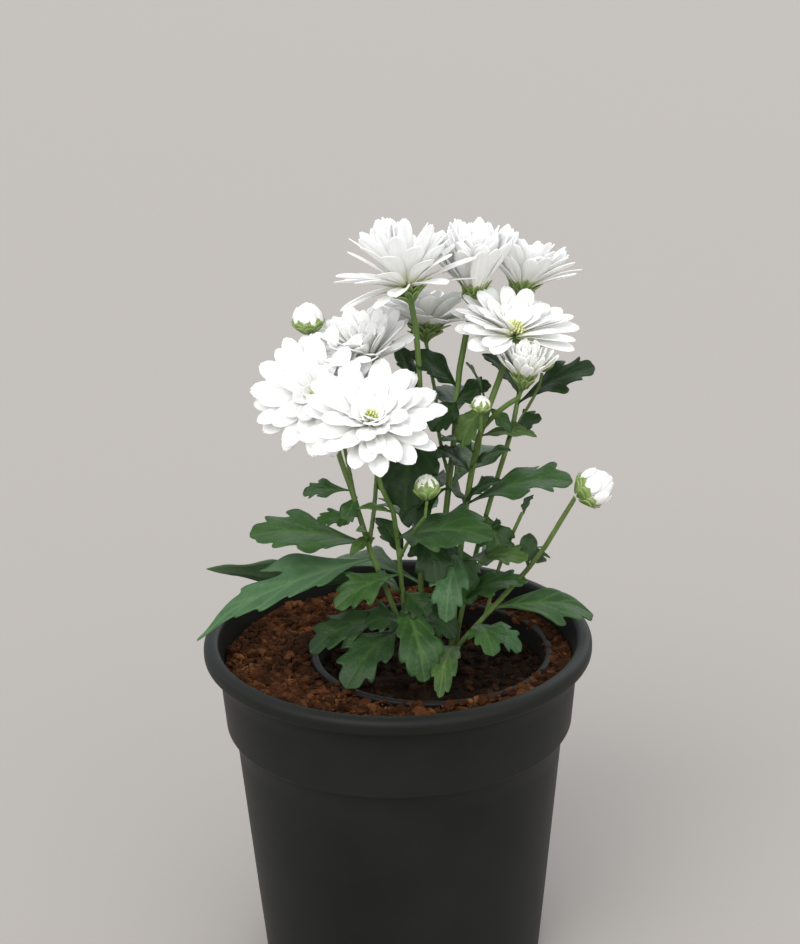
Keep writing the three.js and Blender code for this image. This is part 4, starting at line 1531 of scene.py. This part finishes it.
# %% Lay a blade
USUAL_WIDTH = 0.92
BLADE_WIDTH = {
    # share of the solid's width that the blade takes, where it is not the usual one
    "leaf_front_hanging": 0.82,
    "leaf_front_small": 0.85,
    "leaf_centre_drooping": 0.8,
    "leaf_left_upper": 0.84,
}


def lay_leaf(name, facts, finish, outlines=(LOBED, LOBED), replaces=()):
    """Lay a blade over the leaf's facts: arched, folded, rippled, grooved and sagging at the tip."""
    foot, along, across, normal, length, half, arch, fold = facts
    half = half * BLADE_WIDTH.get(name, USUAL_WIDTH)
    rng = seeded(name)
    x, y = leaf_grid(*outlines, rng)
    vein = vein_depth(x, np.abs(y))
    sag = rng.uniform(0.03, 0.09) * length
    ripple = rng.uniform(0.06, 0.11) * half
    phase = rng.uniform(0, math.tau)
    twist = rng.uniform(-0.12, 0.12)
    lift = arch * 4 * x * (1 - x) + fold * np.abs(y) * half * (1 - 0.6 * y**2)
    lift += ripple * np.sin(x * 15 + phase + 2.1 * np.sign(y)) * y**2 * 2
    lift -= sag * ease(0.65, 1.0, x) ** 2
    lift += twist * y * half * x
    lift -= 0.3 * MM * vein * ease(0.05, 0.2, x)
    run = x * (length + 0.8 * MM) - 0.8 * MM
    flat = foot + run[..., None] * along + (y * half)[..., None] * across
    sheets = [flat + (lift + side * LEAF_THICKNESS / 2)[..., None] * normal for side in (1, -1)]
    points = np.concatenate([sheet.reshape(-1, 3) for sheet in sheets])
    marks = {
        "vein": np.tile(vein.ravel(), 2),
        "under": np.repeat([0.0, 1.0], x.size),
        "tone": np.full(x.size * 2, rng.uniform(0.0, 0.2)),
    }
    return make_piece(name + "_blade", points, sheet_faces(*x.shape), finish, marks, replaces)


print("blade layer ready")

# %% [markdown]
# ## Which leaf looks how
# Every leaf takes a tone and a pair of outlines by its name; the usual ones are a middle green and lobed.
# One leaf is seen edge on, so it is turned about its own length before its blade is laid.

# %% Tones and outlines of the leaves
TONES = [
    # grey-green tone: partly painted sheen on these leaves
    (LEAF_GREY_SHEEN, ["left_great", "middle_hanging", "right_rear"]),
    (LEAF_YOUNG, ["front_small", "right_light", "right_inner", "centre_drooping"]),
    # dark tone: painted shade for these leaves in the liner, behind others and deep in the plant
    (LEAF_DARK_SHADED, ["liner_left", "liner_front", "behind_front", "foot_left", "left_edge_on", "back_upper"]),
    (LEAF_DARK_SHADED, ["centre_left", "centre_deep", "centre_mass", "middle_upright", "middle_left"]),
    (LEAF_DARK_SHADED, ["right_edge", "right_top"]),
]
leaf_tone = {f"leaf_{leaf}": finish for finish, leaves in TONES for leaf in leaves}
OUTLINES = {
    "leaf_left_great": (LONG_TIPPED, SERRATE),
    "leaf_front_hanging": (SCALLOPED, SCALLOPED),
    "leaf_front_broad": (TOOTHED, TOOTHED),
    "leaf_behind_front": (TOOTHED, TOOTHED),
    "leaf_front_small": (TOOTHED, SCALLOPED),
    "leaf_left_edge_on": (NARROW, SLIM),
    "leaf_right_edge": (SLIM, SLIM),
    "leaf_left_upper": (LOBED, TOOTHED),
    "leaf_middle_left": (SLIM, TOOTHED),
    "leaf_middle_upright": (SLIM, TOOTHED),
    "leaf_right_light": (SLIM, TOOTHED),
    "leaf_right_low": (LOBED, NARROW),
    "leaf_centre_drooping": (TOOTHED, TOOTHED),
}
print("leaves with a tone of their own:", len(leaf_tone), "and with outlines:", len(OUTLINES))

# %% Lay every leaf of the frame
EDGE_ON = "leaf_left_edge_on"
EDGE_ON_TURN = 38.0


def turned(facts, degrees):
    """The same leaf turned about its own length."""
    foot, along, across, normal, *rest = facts
    turn = np.array(Matrix.Rotation(math.radians(degrees), 3, Vector(along)))
    return (foot, along, turn @ across, turn @ normal, *rest)


for name in LEAVES:
    facts = turned(measure_leaf(name), EDGE_ON_TURN if name == EDGE_ON else 0.0)
    finish = leaf_tone.get(name, LEAF_GREEN)
    lay_leaf(name, facts, finish, OUTLINES.get(name, (LOBED, LOBED)), replaces=[name])
print("leaves measured and laid:", len(LEAVES))

# %% [markdown]
# ## Small leaves
# Between the big leaves, small ones crowd the upper stalks and the middle of the plant.
# They are too many to be solids of their own, so they are described here by their two ends.
# Each is laid with the same blade. Its foot is moved to the nearest stalk, so that none floats.

# %% The small leaves
SMALL_LEAVES = {
    # name: foot and tip in mm, full width in mm, turn about its length in degrees, finish, outline
    # the dark finish on these small leaves is painted shade, for their places deep in the plant
    "small_leaf_high": ((20, 8, 203), (31, 5, 205), 12, 35, LEAF_DARK_SHADED, (TOOTHED, TOOTHED)),
    "small_leaf_dark": ((19, 8, 200), (12, 1, 191), 12, -20, LEAF_DARK_SHADED, (TOOTHED, TOOTHED)),
    "small_leaf_low": ((16, 7, 148), (25, -2, 131), 16, 0, LEAF_GREEN, (LOBED, LOBED)),
    "small_leaf_tucked": ((36, 8, 183), (47, 4, 194), 12, 30, LEAF_DARK_SHADED, (LOBED, LOBED)),
    "small_leaf_pale": ((26, 3, 181), (37, -4, 186), 8, 14, LEAF_GREEN, (SLIM, TOOTHED)),
    "small_leaf_under_flower": ((40, 13, 200), (30, 11, 214), 10, -35, LEAF_DARK_SHADED, (SLIM, TOOTHED)),
    "small_leaf_right_deep": ((30, 8, 160), (35, -2, 147), 14, 14, LEAF_GREEN, (LOBED, LOBED)),
    "small_leaf_right_inner": ((20, 2, 134), (42, -4, 141), 14, 20, LEAF_GREEN, (TOOTHED, LOBED)),
    "small_leaf_side_tip": ((42, 4, 158), (45, 2, 168), 5, 0, LEAF_DARK_SHADED, (SLIM, SLIM)),
    "small_leaf_foot_middle": ((2, -2, 138), (10, -9, 130), 14, 20, LEAF_DARK_SHADED, (LOBED, LOBED)),
    "small_leaf_left_cluster": ((-5, -5, 155), (-12, -13, 163), 6, -30, LEAF_YOUNG, (SLIM, SLIM)),
    "small_leaf_left_pair": ((-10, -3, 155), (-15, -11, 153), 5, -20, LEAF_YOUNG, (SLIM, SLIM)),
    "small_leaf_neck_left": ((9, 7, 190), (3, 0, 197), 7, -20, LEAF_GREEN, (SLIM, TOOTHED)),
    "small_leaf_neck_right": ((33, 5, 196), (38, 0, 190), 6, 20, LEAF_GREEN, (SLIM, SLIM)),
    "small_leaf_mid_right": ((24, 5, 168), (34, -2, 175), 9, 20, LEAF_DARK_SHADED, (TOOTHED, TOOTHED)),
    "small_leaf_mid_left": ((8, 7, 180), (-1, 0, 183), 10, -30, LEAF_DARK_SHADED, (TOOTHED, LOBED)),
    "small_leaf_stem_left": ((-12, -4, 168), (-17, -10, 163), 7, -20, LEAF_GREEN, (SLIM, TOOTHED)),
    "small_leaf_deep_front": ((5, 5, 128), (19, -6, 121), 14, 14, LEAF_DARK_SHADED, (LOBED, LOBED)),
    "small_leaf_olive": ((-1, -9, 168), (-12, -13, 170), 5, -20, LEAF_YOUNG, (SLIM, NARROW)),
    "small_leaf_gap_left": ((1, -4, 150), (-6, -1, 162), 9, -20, LEAF_DARK_SHADED, (SLIM, TOOTHED)),
    "small_leaf_gap_low": ((0, -2, 136), (-7, -8, 144), 10, -25, LEAF_GREEN, (TOOTHED, SLIM)),
    "small_leaf_gap_middle": ((8, 6, 160), (15, 0, 173), 11, 20, LEAF_DARK_SHADED, (TOOTHED, LOBED)),
    "small_leaf_gap_right": ((27, 10, 145), (34, 3, 158), 10, 20, LEAF_DARK_SHADED, (TOOTHED, TOOTHED)),
    "small_leaf_gap_high": ((23, 6, 176), (14, 4, 184), 10, -25, LEAF_DARK_SHADED, (TOOTHED, LOBED)),
}
print("small leaves described:", len(SMALL_LEAVES))


# %% Lay the small leaves
def leaf_facts(foot, tip, width, roll):
    """The same facts that measure_leaf gives, for a leaf described by its ends."""
    foot = nearest_stalk(np.array(foot) * MM)
    tip = np.array(tip) * MM
    length = np.linalg.norm(tip - foot)
    along = (tip - foot) / length
    across = np.cross(along, (0.0, 0.0, 1.0))
    across /= np.linalg.norm(across)
    turn = Matrix.Rotation(math.radians(roll), 3, Vector(along))
    across = -np.array(turn @ Vector(across))
    normal = np.cross(along, across)
    if normal[2] < 0:
        across, normal = -across, -normal
    return foot, along, across, normal, length, width / 2 * MM, 0.08 * length, 0.2


for name, (foot, tip, width, roll, finish, outlines) in SMALL_LEAVES.items():
    lay_leaf(name, leaf_facts(foot, tip, width, roll), finish, outlines)
print("small leaves:", len(SMALL_LEAVES))

# %% [markdown]
# ## Floor and light
# A plain pale floor and soft studio light keep attention on the plant. A whole room could be built
# round it, but three lamps can be understood and changed one at a time.
# A broad sun high on the left is the key, weaker ones fill from the right and behind,
# and the world lifts the shadows. Their wide angles keep every shadow edge soft.


# %% Floor
def stage_finish(name, colour):
    """One plain dull colour."""
    finish = Finish(name, roughness=0.9, specular=0.1)
    finish.shader.inputs["Base Color"].default_value = (*colour, 1.0)
    return finish.material


floor_mesh = bpy.data.meshes.new("floor")
FLOOR_HALF = 30.0
corners = [(-FLOOR_HALF, -FLOOR_HALF, 0), (FLOOR_HALF, -FLOOR_HALF, 0)]
corners += [(FLOOR_HALF, FLOOR_HALF, 0), (-FLOOR_HALF, FLOOR_HALF, 0)]
floor_mesh.from_pydata(corners, [], [(0, 1, 2, 3)])
floor_mesh.materials.append(stage_finish("floor_pale", (0.40, 0.37, 0.34)))
floor = bpy.data.objects.new("floor", floor_mesh)
bpy.context.scene.collection.objects.link(floor)
print("floor", 2 * FLOOR_HALF, "m wide")


# %% Lamps and world
def soft_sun(name, direction, strength, width, colour):
    """A broad even light: direction points from the plant to the lamp, width is its angle in degrees."""
    lamp = bpy.data.lights.new(name, "SUN")
    lamp.energy, lamp.angle, lamp.color = strength, math.radians(width), colour
    holder = bpy.data.objects.new(name, lamp)
    bpy.context.scene.collection.objects.link(holder)
    holder.rotation_euler = (-Vector(direction)).to_track_quat("-Z", "Y").to_euler()


soft_sun("lamp_key", (-0.45, -0.8, 0.9), 1.65, 45.0, (1.0, 0.985, 0.96))
soft_sun("lamp_fill", (0.6, -1.0, 0.3), 0.9, 60.0, (1.0, 0.96, 0.9))
soft_sun("lamp_back", (0.5, 1.0, 0.7), 0.55, 50.0, (0.97, 0.99, 1.0))
world = bpy.data.worlds.new("studio_world")
bpy.context.scene.world = world
world.use_nodes = True
sky = world.node_tree.nodes["Background"]
sky.inputs["Color"].default_value = (0.74, 0.77, 0.82, 1.0)
sky.inputs["Strength"].default_value = 1.15
bpy.context.scene.view_settings.view_transform = "Standard"
print("stage set")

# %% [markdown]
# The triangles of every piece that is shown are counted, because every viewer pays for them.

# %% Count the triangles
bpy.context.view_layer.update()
shown = [o for o in bpy.data.objects if o.type == "MESH" and not o.hide_render]
triangles = sum(len(p.vertices) - 2 for o in shown for p in o.data.polygons)
print("triangles in all:", triangles)
